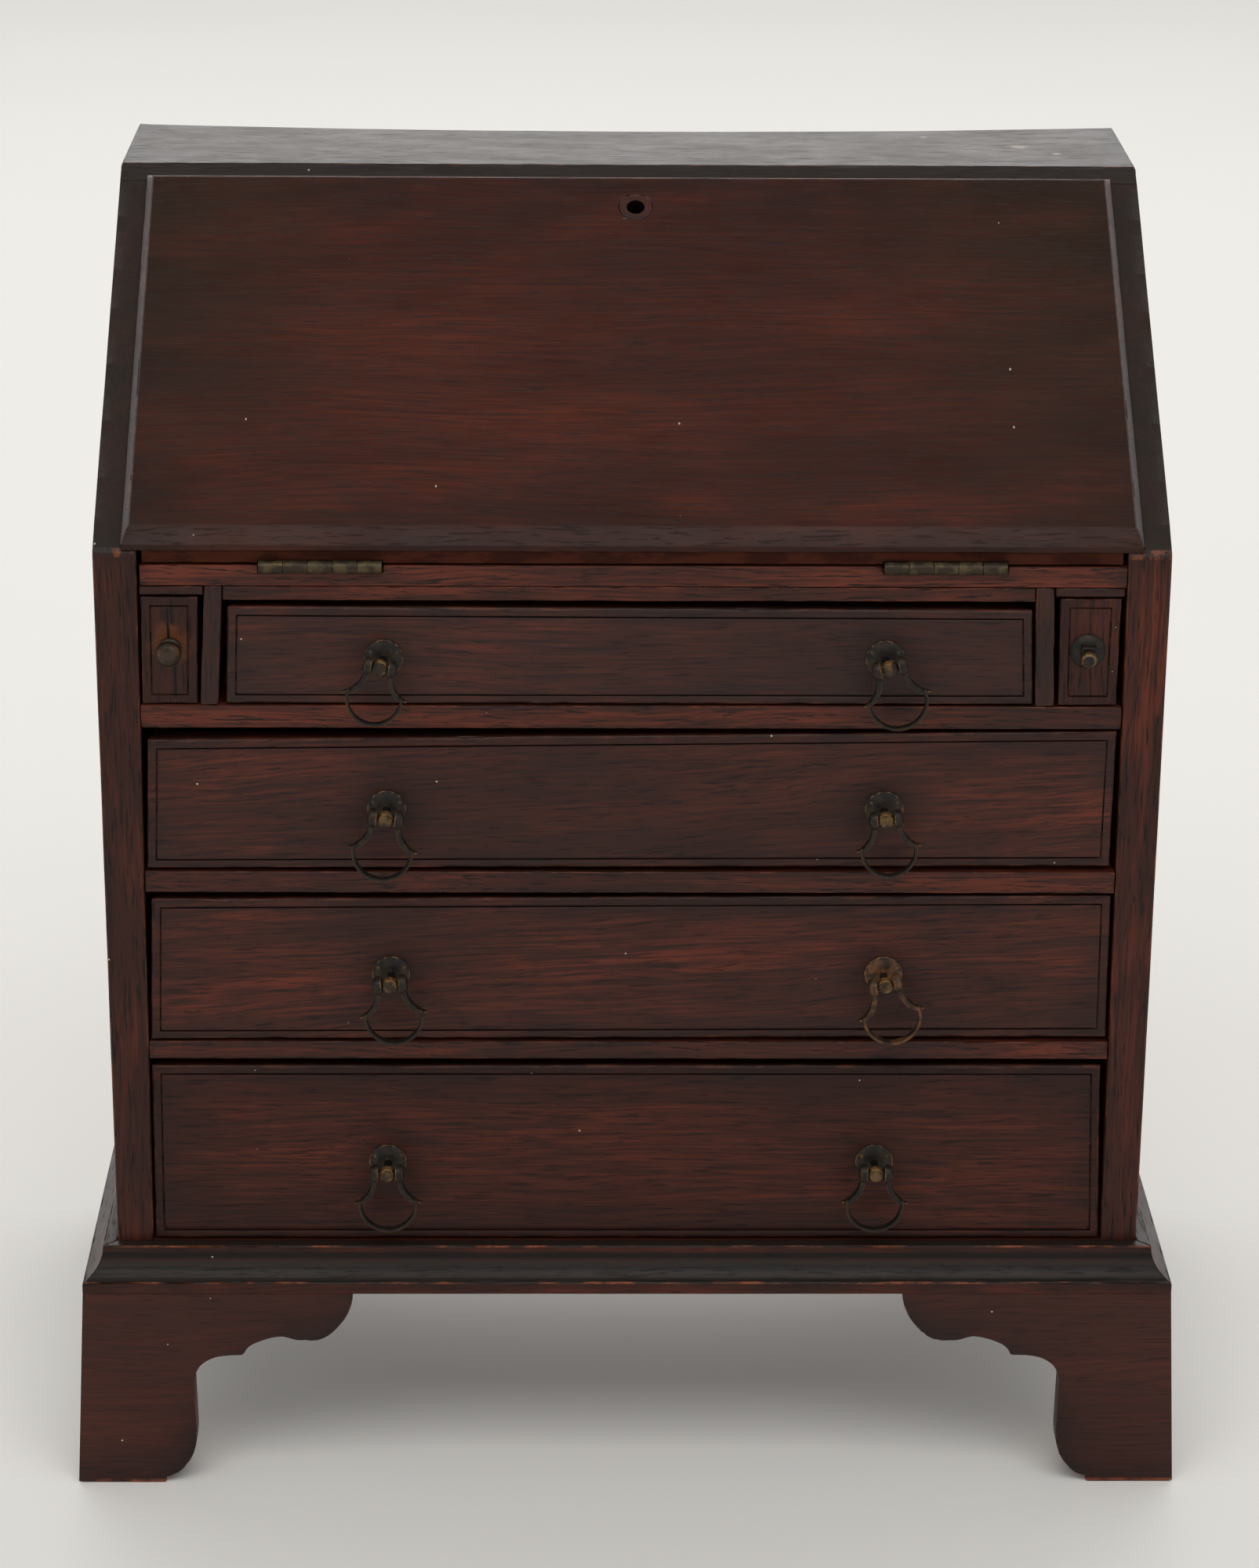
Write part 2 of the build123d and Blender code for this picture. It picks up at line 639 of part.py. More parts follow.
def keyhole_bore(radius, mode):
    """A round bar through the fall at the keyhole, square to the fall."""
    length = LIP_GAP + LIP_THICKNESS + FALL_BODY_DEPTH
    bottom = Location((KEYHOLE_X, KEYHOLE_SLOPE, -FALL_BODY_DEPTH))
    with Locations(slope_plane().location * bottom):
        Cylinder(radius, length, align=(Align.CENTER, Align.CENTER, Align.MIN), mode=mode)


def make_fall():
    """The fall: a lipped panel that lies on the slope, cut plumb below, and its keyhole bush."""
    outer = LIP_GAP + LIP_THICKNESS
    recess_low = (FALL_RECESS - FALL_BODY_DEPTH * sin(SLOPE)) / cos(SLOPE)
    recess_high = (FALL_RECESS + LIP_GAP * sin(SLOPE)) / cos(SLOPE)
    with BuildPart() as fall_panel:
        with BuildSketch(side_plane()):
            with BuildLine():
                Polyline(
                    (0, SLOPE_START_Z + LIP_GAP / cos(SLOPE)),
                    (0, PLUMB_TOP_Z),
                    on_slope(BOTTOM_BEVEL_TOP, outer),
                    on_slope(LIP_TOP, outer),
                    on_slope(LIP_TOP, LIP_GAP),
                    close=True,
                )
            make_face()
        extrude(amount=LIP_HALF_WIDTH, both=True)
        outward = Axis((0, 0, 0), (0, -sin(SLOPE), cos(SLOPE)))
        showing_face = fall_panel.faces().filter_by(outward).sort_by(outward)[-1]
        bevelled = showing_face.edges().sort_by(Axis.Z)[1:]
        chamfer(bevelled, length=LIP_BEVEL)
        with BuildSketch(side_plane()):
            with BuildLine():
                Polyline(
                    on_slope(recess_low, -FALL_BODY_DEPTH),
                    on_slope(recess_high, LIP_GAP),
                    on_slope(FALL_BODY_TOP, LIP_GAP),
                    on_slope(FALL_BODY_TOP, -FALL_BODY_DEPTH),
                    close=True,
                )
            make_face()
        extrude(amount=FALL_BODY_HALF_WIDTH, both=True)
        hinge_pockets(hinge_frame(True))
        keyhole_bore(BUSH_RADIUS, Mode.SUBTRACT)
    save(fall_panel, "fall_panel")

    with BuildPart() as keyhole_bush:
        keyhole_bore(BUSH_RADIUS, Mode.ADD)
        keyhole_bore(KEYHOLE_RADIUS, Mode.SUBTRACT)
    save(keyhole_bush, "keyhole_bush")


# ---------------------------------------------------------------- lopers
def incise(corners, depth):
    """Cut the fine line that runs round a face, parallel to its edges."""
    with BuildSketch(front_plane(DRAWER_FACE_DEPTH)) as line:
        with BuildLine():
            Polyline(*corners, close=True)
        make_face()
        offset(amount=-INCISED_INSET)
        offset(amount=-INCISED_WIDTH, mode=Mode.SUBTRACT)
    extrude(line.sketch, amount=-depth, mode=Mode.SUBTRACT)


def shank_holes(places):
    """Holes for the pull shanks, straight back from the face."""
    for x, z in places:
        with Locations((x, FRONT_Y, z)):
            Cylinder(0.8, 2 * FACE_INNER_DEPTH + 2, rotation=(90, 0, 0), mode=Mode.SUBTRACT)


def turned(x, z, outline, ball=None):
    """Revolve a half outline of (distance forwards, radius) points about the pull's own axis.

    ball is the distance forwards and the radius of a round head, flat in front, after the last point.
    """
    points = [(-forwards, z + radius) for forwards, radius in outline]
    with BuildSketch(side_plane(x)) as half:
        with BuildLine():
            if ball:
                centre, radius = ball
                flat = radius * BALL_FLAT
                head_edge = (-centre - flat, z + sqrt(radius**2 - flat**2))
                ThreePointArc(points[-1], (-centre, z + radius), head_edge)
                points += [(-centre - flat, z)]
                Line(head_edge, points[-1])
                Polyline(*points[-1:], *points[:-1])
            else:
                Polyline(*points, close=True)
        make_face()
    revolve(half.sketch, axis=Axis((x, FRONT_Y, z), (0, 1, 0)))


def make_lopers():
    """The two slides that pull out to carry the open fall, and their knobs."""
    for side, (top, foot) in LOPERS.items():
        corners = (
            (foot[0], LOPER_BOTTOM_Z),
            (foot[1], LOPER_BOTTOM_Z),
            (top[1], LOPER_TOP_Z),
            (top[0], LOPER_TOP_Z),
        )
        with BuildPart() as loper:
            with BuildSketch(front_plane(DRAWER_FACE_DEPTH)):
                with BuildLine():
                    Polyline(*corners, close=True)
                make_face()
            extrude(amount=-LOPER_LENGTH)
            fillet(loper.faces().sort_by(Axis.Y)[0].edges(), radius=0.35)
            incise(corners, 0.25)
            shank_holes([(LOPER_KNOB_X[side], LOPER_KNOB_Z)])
        save(loper, f"loper_{side}")

    face = -DRAWER_FACE_DEPTH
    shank = [(face - 5, 0), (face - 5, SHANK_RADIUS), (face, SHANK_RADIUS)]
    with BuildPart() as loper_knob_left:
        collar = [(face, 2.4), (face + 0.7, 2.3), (1.1, 1.2), (1.7, 1.1)]
        turned(LOPER_KNOB_X["left"], LOPER_KNOB_Z, [*shank, *collar], ball=(3.4, 2.15))
    save(loper_knob_left, "loper_knob_left")

    with BuildPart() as loper_knob_right:
        rose = [(face, 3.7), (face + 0.3, 3.7), (face + 0.9, 2.6), (face + 1.1, 1.4), (4.0, 1.4)]
        turned(LOPER_KNOB_X["right"], LOPER_KNOB_Z, [*shank, *rose], ball=(5.0, 1.85))
    save(loper_knob_right, "loper_knob_right")


# ---------------------------------------------------------------- drawers
def make_drawer_box(name, corners, pulls):
    """Front, two sides, back and bottom of one drawer."""
    low_left, low_right, high_right, high_left = corners
    floor_z = DRAWER_FLOORS[name] + DRAWER_CLEARANCE
    left = max(low_left[0], high_left[0]) + 0.1
    right = min(low_right[0], high_right[0]) - 0.1
    top_z = min(high_left[1], high_right[1]) - 2.5
    thickness = DRAWER_SIDE_THICKNESS
    box_depth = (FACE_INNER_DEPTH, DRAWER_BACK_DEPTH)
    inside_x = (left + thickness, right - thickness)
    left_x, right_x, pull_z = pulls

    with BuildPart() as front:
        with BuildSketch(front_plane(DRAWER_FACE_DEPTH)):
            with BuildLine():
                Polyline(*corners, close=True)
            make_face()
        extrude(amount=-DRAWER_FRONT_THICKNESS)
        fillet(front.faces().sort_by(Axis.Y)[0].edges(), radius=FRONT_ROUNDING)
        incise(corners, 0.3)
        shank_holes([(left_x, pull_z), (right_x, pull_z)])
    save(front, f"{name}_front")

    with BuildPart() as sides:
        board((left, left + thickness), box_depth, (floor_z, top_z))
        board((right - thickness, right), box_depth, (floor_z, top_z))
    save(sides, f"{name}_sides")

    with BuildPart() as back:
        back_depth = (DRAWER_BACK_DEPTH - thickness, DRAWER_BACK_DEPTH)
        board(inside_x, back_depth, (floor_z + DRAWER_BOTTOM_THICKNESS, top_z - 1))
    save(back, f"{name}_back")

    with BuildPart() as bottom:
        board(inside_x, box_depth, (floor_z, floor_z + DRAWER_BOTTOM_THICKNESS))
    save(bottom, f"{name}_bottom")


def make_pull_mounts(name, pulls):
    """For each pull its domed rose, ball-headed post, cross pin and the nut behind the front."""
    left_x, right_x, z = pulls
    face = -DRAWER_FACE_DEPTH
    inside = -FACE_INNER_DEPTH
    hole = SHANK_RADIUS + RUNNING_GAP
    dome = [(face + 0.3, ROSE_RADIUS), (face + 0.7, 3.3), (face + 1.0, 2.2), (face + 1.1, hole)]
    neck_end = PIVOT_PROUD - sqrt(BALL_RADIUS**2 - SHANK_RADIUS**2)
    shank = [(inside - 1.9, 0), (inside - 1.9, SHANK_RADIUS), (neck_end, SHANK_RADIUS)]
    with BuildPart() as pull_mounts:
        for x in (left_x, right_x):
            turned(x, z, shank, ball=(PIVOT_PROUD, BALL_RADIUS))
            with Locations((x, FRONT_Y - PIVOT_PROUD, z)):
                Cylinder(PULL_PIN_RADIUS + 0.02, 8, rotation=(0, 90, 0), mode=Mode.SUBTRACT)
                Cylinder(PULL_PIN_RADIUS, 2 * (EAR_INNER + EAR_WIDTH) + 0.3, rotation=(0, 90, 0))
            turned(x, z, [(face, hole), (face, ROSE_RADIUS), *dome])
            with BuildSketch(front_plane(FACE_INNER_DEPTH + 0.05)):
                with Locations((x, z)):
                    Rectangle(3, 3)
                    Circle(hole, mode=Mode.SUBTRACT)
            extrude(amount=-1.3)
    save(pull_mounts, f"{name}_pull_mounts")


def make_bail(name, x, z):
    """A drop handle: two bead ears, arms that flare to pointed wings, and a round lower loop."""
    ear_centre = EAR_INNER + EAR_WIDTH / 2
    with BuildPart() as bail:
        for sign in (-1, 1):
            with Locations((x + sign * ear_centre, FRONT_Y - PIVOT_PROUD, z)):
                Cylinder(EAR_RADIUS, EAR_WIDTH, rotation=(0, 90, 0))
        fillet(bail.edges().filter_by(GeomType.CIRCLE), radius=0.55)
        front = Plane(
            origin=(x, FRONT_Y - PIVOT_PROUD + BAIL_DEPTH / 2, z), x_dir=(1, 0, 0), z_dir=(0, -1, 0)
        )
        with BuildSketch(front) as strap:
            with Locations((0, -LOOP_DROP)):
                Circle(LOOP_RADIUS)
                Circle(LOOP_RADIUS - LOOP_BAND, mode=Mode.SUBTRACT)
                with Locations((0, LOOP_RADIUS)):
                    Rectangle(3 * LOOP_RADIUS, 2 * LOOP_RADIUS - 0.4, mode=Mode.SUBTRACT)
            with BuildLine():
                Spline((3.1, -1.0), (3.65, -3.9), (4.9, -5.8), (7.4, -6.7), tangents=((0, -1), (1, -0.1)))
                Spline((7.4, -6.7), (6.9, -7.4), (6.1, -7.9), tangents=((-0.4, -1), (-1, -0.2)))
                Spline((6.1, -7.9), (4.3, -6.8), (2.9, -4.2), (2.3, -1.0), tangents=((-1, 0.25), (-0.1, 1)))
                Line((2.3, -1.0), (3.1, -1.0))
            make_face()
            mirror(about=Plane.YZ)
        extrude(strap.sketch, amount=BAIL_DEPTH)
        with Locations((x, FRONT_Y - PIVOT_PROUD, z)):
            Cylinder(PULL_PIN_RADIUS + RUNNING_GAP, 9, rotation=(0, 90, 0), mode=Mode.SUBTRACT)
    save(bail, name)


def make_drawers():
    """Four long drawers, each with two drop pulls."""
    for name, pulls in PULLS.items():
        make_drawer_box(name, DRAWER_CORNERS[name], pulls)
        make_pull_mounts(name, pulls)
        left_x, right_x, pull_z = pulls
        make_bail(f"{name}_bail_left", left_x, pull_z)
        make_bail(f"{name}_bail_right", right_x, pull_z)


os.makedirs("parts", exist_ok=True)
make_side("side_left", -1)
make_side("side_right", 1)
make_top_board()
make_plain_boards()
make_dividers_and_guides()
make_rails()
make_pigeonholes()
make_plinth()
make_feet()
make_hinges()
make_fall()
make_lopers()
make_drawers()
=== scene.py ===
"""Looks of the miniature slant-front bureau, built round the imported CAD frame."""

import json
import math

import bmesh
import bpy
from mathutils import Matrix, Vector, noise
from mathutils.kdtree import KDTree

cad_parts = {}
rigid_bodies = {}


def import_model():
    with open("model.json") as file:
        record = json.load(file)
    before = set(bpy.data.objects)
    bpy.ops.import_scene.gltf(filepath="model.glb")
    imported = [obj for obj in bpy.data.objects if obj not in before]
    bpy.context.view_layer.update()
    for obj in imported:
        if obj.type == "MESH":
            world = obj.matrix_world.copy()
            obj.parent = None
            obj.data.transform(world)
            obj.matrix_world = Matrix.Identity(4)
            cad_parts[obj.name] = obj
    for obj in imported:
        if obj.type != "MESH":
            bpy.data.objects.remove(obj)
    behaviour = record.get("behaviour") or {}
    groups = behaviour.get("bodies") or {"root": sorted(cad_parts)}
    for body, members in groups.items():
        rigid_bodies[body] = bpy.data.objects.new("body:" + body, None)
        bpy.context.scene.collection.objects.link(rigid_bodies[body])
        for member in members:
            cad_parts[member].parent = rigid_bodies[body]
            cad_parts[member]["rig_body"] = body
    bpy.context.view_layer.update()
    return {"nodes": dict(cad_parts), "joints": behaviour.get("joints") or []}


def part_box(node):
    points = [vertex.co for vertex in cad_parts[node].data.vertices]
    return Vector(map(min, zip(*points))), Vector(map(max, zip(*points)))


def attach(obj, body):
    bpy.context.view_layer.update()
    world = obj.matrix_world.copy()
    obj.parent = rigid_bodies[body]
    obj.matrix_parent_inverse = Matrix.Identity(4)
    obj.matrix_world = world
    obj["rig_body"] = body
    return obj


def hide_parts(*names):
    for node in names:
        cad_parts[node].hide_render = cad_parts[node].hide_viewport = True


MM = 0.001

# Camera and studio, in metres, degrees and watts
CAMERA_PLACE = (-0.0153, -0.9028, 0.4728)
CAMERA_PITCH = 20.31
CAMERA_YAW = 1.01
CAMERA_ROLL = 0.45
CAMERA_LENS = 122.9
SENSOR_WIDTH = 36.0
FLOOR_SIZE = 14.0
BACK_BOX = ((0.0, 1.5, 1.25), (2.2, 1.0), 9.0)
FRONT_BOX = ((0.0, -1.2, 2.0), (2.6, 1.2), 24.5)
LIGHT_AIM = Vector((0, 0, 0.12))

# Colours, linear
FLOOR_COLOUR = (0.80, 0.79, 0.765)
FLOOR_SHADE = (0.70, 0.69, 0.66)
SKY_COLOUR = (1.0, 0.992, 0.977, 1.0)
LIGHT_COLOUR = (1.0, 0.985, 0.965)
MAHOGANY_RED = (0.114, 0.0218, 0.0088)
MAHOGANY_DARK = (0.0200, 0.0062, 0.0042)
MAHOGANY_WORN = (0.220, 0.060, 0.022)
# Painted shade for the fall's lower edge
MAHOGANY_EDGE_SHADE = (0.026, 0.0060, 0.0032)
FALL_BROWN = (0.020, 0.0105, 0.0050)
GRIME = (0.0055, 0.0040, 0.0034)
# Nearly black: darker end grain on the sides' slanted edges, painted shade on the plinth's upward faces
END_GRAIN_AND_SHADE = (0.0160, 0.0118, 0.0090)
# Painted shade at the foot of grooves
GROOVE_SHADE = (0.002, 0.0016, 0.0014)
SPLIT_BROWN = (0.002, 0.0016, 0.0012)
SPLIT_BLACK = (0.001, 0.0008, 0.0007)
DUST = (0.42, 0.36, 0.29)
FAINT = (0.0120, 0.0065, 0.0045)
FAINT_GAP = (0.040, 0.0150, 0.0095)
RUST = (0.120, 0.038, 0.010)
PINE_LIGHT = (0.250, 0.145, 0.075)
PINE_DARK = (0.150, 0.080, 0.040)
PINE_AGED = (0.075, 0.042, 0.024)
PATINA_BLACK = (0.0105, 0.0098, 0.0095)
PATINA_BROWN = (0.026, 0.0175, 0.0100)
PATINA_OLIVE = (0.070, 0.050, 0.020)
PATINA_AMBER = (0.125, 0.070, 0.026)
PATINA_COPPER = (0.120, 0.052, 0.022)
PATINA_DULL = (0.046, 0.029, 0.019)
BRASS_DULL = (0.190, 0.125, 0.055)
BRASS_GOLD = (0.60, 0.36, 0.12)
COPPER_RED = (0.40, 0.11, 0.045)

# How much polished wood reflects, where a piece has no value of its own
SHINE = 0.29

# Turns that lay the grain along an axis, and along one that rises a little to one side
GRAIN_X = (0.0, 0.0, 0.0)
GRAIN_Y = (0.0, 0.0, -math.pi / 2)
GRAIN_Z = (0.0, math.pi / 2, 0.0)
GRAIN_RISING = (0.0, math.radians(3.0), 0.0)

# Dust: cells to the mm, the share of cells that stay clean, and the largest speck, in cells
DUST_DENSITY = 0.10
DUST_CLEAN = 0.90
DUST_SPECK = 0.022

# Marks of use, in mm: spots as a place and a radius, spills as across, back and a radius
FALL_SPOTS = [((-20.0, -10.0, 262.0), 4.5), ((-46.0, -29.0, 244.0), 3.0), ((28.0, -6.0, 262.0), 3.0)]
TOP_SPILLS = [(88.0, 48.0, 2.4), (95.0, 40.0, 1.4), (67.0, 60.0, 1.2)]
RUST_RADIUS = 4.6
CRACK_WIDTH = 0.36
CRACK_WANDER = 1.6
CRACK_TAPER = 1.5

# Heights between which the bare soles fade out, how far the dirt of fingers spreads from a
# pull, and how far a rose sits behind its pivot, in mm
SOLE_WEAR = (0.3, 1.3)
HANDLED_REACH = 10.0
ROSE_BEHIND = 5.5

# Worn copies, in mm: mesh cell, and the widest face that counts as an arris or a groove
CELL = 3.0
NARROW = 0.65
NARROW_BAIL = 0.23
NARROW_MOUNT = 0.3
NARROW_KNOB = 0.25

# How near a corner or a joint an edge counts as part of it, the widest front whose lines are
# all taken as upright, and how far the top sags, in mm
CORNER_REACH = 1.6
JOINT_REACH = 0.6
SLIM_FRONT = 20
TOP_SAG = 1.3

# Points this close, in m, are one, and angles between faces that count as flat, sharp or creased
WELD = 2e-6
FLAT = math.radians(0.8)
SHARP = math.radians(28)
BAIL_SHARP = math.radians(35)
CREASE = math.radians(40)

# The slope of the desk, from its rise and run in mm, and the top of the fall's lower edge, which
# is painted dark as shade with bare wood in places
SLOPE = math.atan2(62.4, 85.7)
SLOPE_OUT = (0.0, -math.sin(SLOPE), math.cos(SLOPE))
FALL_EDGE_TOP = 211.3

# Sub-parts: grain, richness and shine of each drawer front, and richness of each rail
SIDES = ("left", "right")
FRONTS = {
    1: (GRAIN_X, 1.00, 0.29),
    2: (GRAIN_RISING, 1.50, 0.26),
    3: (GRAIN_RISING, 1.70, 0.25),
    4: (GRAIN_X, 1.00, 0.21),
}
RAILS = {"writing_board": 3.2, "upper_rail": 3.4, "loper_caps": 1.4, "drawer_rails": 2.4}

# Pull heads and loper knobs, in mm, with factors for the swell and the flatness
HEAD_RADIUS = 1.70
HEAD_FLATNESS = 0.35
HEAD_PAINT = 2.0
BALL_REACH = 2.1
POST_REACH = 6.5
KNOB_SWELL = 1.25
KNOB_BALL = 4.0
KNOB_LEAN = 0.9
KNOB_DROOP = 0.3
SHOULDER_WIDTH = 3.3
SHOULDER_HEIGHT = 2.9

# Drop handles, in mm round the pivot: the loop of strap, the arms and the ears
LOOP_RADIUS = 5.95
LOOP_CENTRE = -7.4
LOOP_START = 12
LOOP_SWEEP = 204
LOOP_STEPS = 48
LOOP_DEPTH = 1.9
LOOP_THICKNESS = 0.62
ARM_POINTS = [(2.75, -1.2), (3.0, -3.0), (3.9, -4.9), (5.4, -6.3), (7.3, -6.9)]
ARM_STEPS = 20
EAR_PROFILE = [
    (-0.92, 0.55), (-0.92, 1.75), (-0.70, 1.95), (0.15, 2.0), (0.70, 1.75), (0.92, 1.2), (0.92, 0.55)
]
EAR_OUT = 2.68
EAR_SIDES = 32
BAIL_ROUNDING = 0.13

# Size of an arm at its ear, what it loses by its tip, and the share of it that keeps its size
ARM_DEPTH = (2.2, 1.6, 0.75)
ARM_THICKNESS = (1.05, 0.85, 0.60)

# How each bail hangs: tilt in degrees, shift to the right in mm, size against the master
BRIGHT_PULL = "drawer_3_bail_right"
BAILS = {
    "drawer_1_bail_left": (10.5, -0.6, 0.94),
    "drawer_1_bail_right": (-14.5, 0.6, 1.0),
    "drawer_2_bail_left": (6.0, 0.0, 1.02),
    "drawer_2_bail_right": (-6.5, 0.0, 0.95),
    "drawer_3_bail_left": (-5.5, 0.0, 1.0),
    "drawer_3_bail_right": (-12.5, 0.0, 1.0),
    "drawer_4_bail_left": (-1.0, 0.0, 1.0),
    "drawer_4_bail_right": (1.0, 0.0, 1.0),
}


# ---------------------------------------------------------------- node helpers
class Nodes:
    """A material's node tree with short calls for the nodes used here."""

    def __init__(self, name):
        self.material = bpy.data.materials.new(name)
        self.material.use_nodes = True
        self.tree = self.material.node_tree
        self.shader = self.tree.nodes["Principled BSDF"]

    def new(self, kind, **settings):
        """A node with some of its settings."""
        node = self.tree.nodes.new(kind)
        for key, value in settings.items():
            setattr(node, key, value)
        return node

    def link(self, value, socket):
        """Feed a socket from another socket, or set it to a colour or a number."""
        if isinstance(value, bpy.types.NodeSocket):
            self.tree.links.new(value, socket)
        elif isinstance(value, tuple) and len(value) == 3 and socket.type == "RGBA":
            socket.default_value = (*value, 1.0)
        else:
            socket.default_value = value

    def math(self, operation, a, b=0.0, clamp=False):
        """One arithmetic node."""
        node = self.new("ShaderNodeMath", operation=operation, use_clamp=clamp)
        self.link(a, node.inputs[0])
        self.link(b, node.inputs[1])
        return node.outputs[0]

    def mix(self, factor, a, b):
        """Colour a where the factor is 0 and b where it is 1."""
        node = self.new("ShaderNodeMix", data_type="RGBA", clamp_factor=True)
        self.link(factor, node.inputs["Factor"])
        self.link(a, node.inputs[6])
        self.link(b, node.inputs[7])
        return node.outputs[2]

    def ramp(self, value, low, high, to_low=0.0, to_high=1.0):
        """A smooth step from to_low to to_high as the value goes from low to high."""
        node = self.new("ShaderNodeMapRange", interpolation_type="SMOOTHSTEP")
        for socket, entry in zip(node.inputs, (value, low, high, to_low, to_high)):
            self.link(entry, socket)
        return node.outputs[0]

    def noise(self, vector, detail=3.0, roughness=0.5):
        """Noise with one feature to the unit of the vector."""
        node = self.new("ShaderNodeTexNoise")
        self.link(vector, node.inputs["Vector"])
        node.inputs["Scale"].default_value = 1.0
        node.inputs["Detail"].default_value = detail
        node.inputs["Roughness"].default_value = roughness
        return node

    def place(self, vector, scale=(1, 1, 1), offset=(0, 0, 0), turn=(0, 0, 0)):
        """A vector scaled, turned and shifted."""
        node = self.new("ShaderNodeMapping")
        self.link(vector, node.inputs["Vector"])
        node.inputs["Scale"].default_value = scale
        node.inputs["Location"].default_value = offset
        node.inputs["Rotation"].default_value = turn
        return node.outputs[0]

    def millimetres(self):
        """Object coordinates in mm, which stay with the piece as it moves."""
        return self.place(self.new("ShaderNodeTexCoord").outputs["Object"], scale=(1000, 1000, 1000))

    def attribute(self, name):
        """A value stored on the mesh, 0 where a mesh hasn't got it."""
        return self.new("ShaderNodeAttribute", attribute_name=name).outputs["Fac"]

    def bump(self, height, strength, distance_mm):
        """Relief on the shader's normal."""
        node = self.new("ShaderNodeBump")
        node.inputs["Strength"].default_value = strength
        node.inputs["Distance"].default_value = distance_mm * MM
        self.link(height, node.inputs["Height"])
        self.tree.links.new(node.outputs[0], self.shader.inputs["Normal"])


# ---------------------------------------------------------------- wood
def dust(n, place):
    """A few pale specks, scattered over the faces that look forwards."""
    flat = n.place(place, turn=(math.pi / 2, 0, 0))
    cells = n.new("ShaderNodeTexVoronoi", voronoi_dimensions="2D")
    n.link(flat, cells.inputs["Vector"])
    cells.inputs["Scale"].default_value = DUST_DENSITY
    chosen = n.new("ShaderNodeSeparateColor")
    n.link(cells.outputs["Color"], chosen.inputs[0])
    some = n.math("GREATER_THAN", chosen.outputs[0], DUST_CLEAN)
    size = n.math("MULTIPLY", chosen.outputs[1], DUST_SPECK)
    forwards = facing(n, (0.0, -1.0, 0.0), 0.40, 0.50)
    inside = n.math("LESS_THAN", cells.outputs["Distance"], size)
    return n.math("MULTIPLY", inside, n.math("MULTIPLY", some, forwards))


def facing(n, direction, low, high):
    """1 where the piece's own surface looks in a direction at rest, 0 elsewhere."""
    dot = n.new("ShaderNodeVectorMath", operation="DOT_PRODUCT")
    n.link(n.new("ShaderNodeTexCoord").outputs["Normal"], dot.inputs[0])
    dot.inputs[1].default_value = direction
    return n.ramp(dot.outputs["Value"], low, high)


def crack(n, place, axis, at, low, high, width=CRACK_WIDTH):
    """Mask of a split that wanders along X or Z, at a place across it, all in mm."""
    split = n.new("ShaderNodeSeparateXYZ")
    n.link(place, split.inputs[0])
    across = split.outputs["X" if axis == "Z" else "Y"]
    along = split.outputs[axis]
    wander = n.noise(n.place(place, scale=(0.12, 0.12, 0.12)), detail=4.0, roughness=0.6).outputs["Fac"]
    line = n.math("ADD", across, n.math("MULTIPLY", n.math("SUBTRACT", wander, 0.5), CRACK_WANDER))
    off = n.math("ABSOLUTE", n.math("SUBTRACT", line, at))
    start, end = n.ramp(along, low, low + CRACK_TAPER), n.ramp(along, high - CRACK_TAPER, high, 1.0, 0.0)
    inside = n.math("MULTIPLY", start, end)
    return n.math("MULTIPLY", n.ramp(off, width * 0.6, width * 0.9, 1.0, 0.0), inside)


def stain(n, place, centre, radius, patchy=0.5):
    """Mask of an uneven round stain, in mm."""
    reach = n.new("ShaderNodeVectorMath", operation="DISTANCE")
    n.link(place, reach.inputs[0])
    reach.inputs[1].default_value = centre
    rough = n.noise(n.place(place, scale=(0.5, 0.5, 0.5)), detail=4.0).outputs["Fac"]
    shift = n.math("MULTIPLY", n.math("SUBTRACT", rough, 0.5), radius * patchy * 2)
    edge = n.math("ADD", reach.outputs["Value"], shift)
    return n.ramp(edge, radius * 0.4, radius * 1.2, 1.0, 0.0)


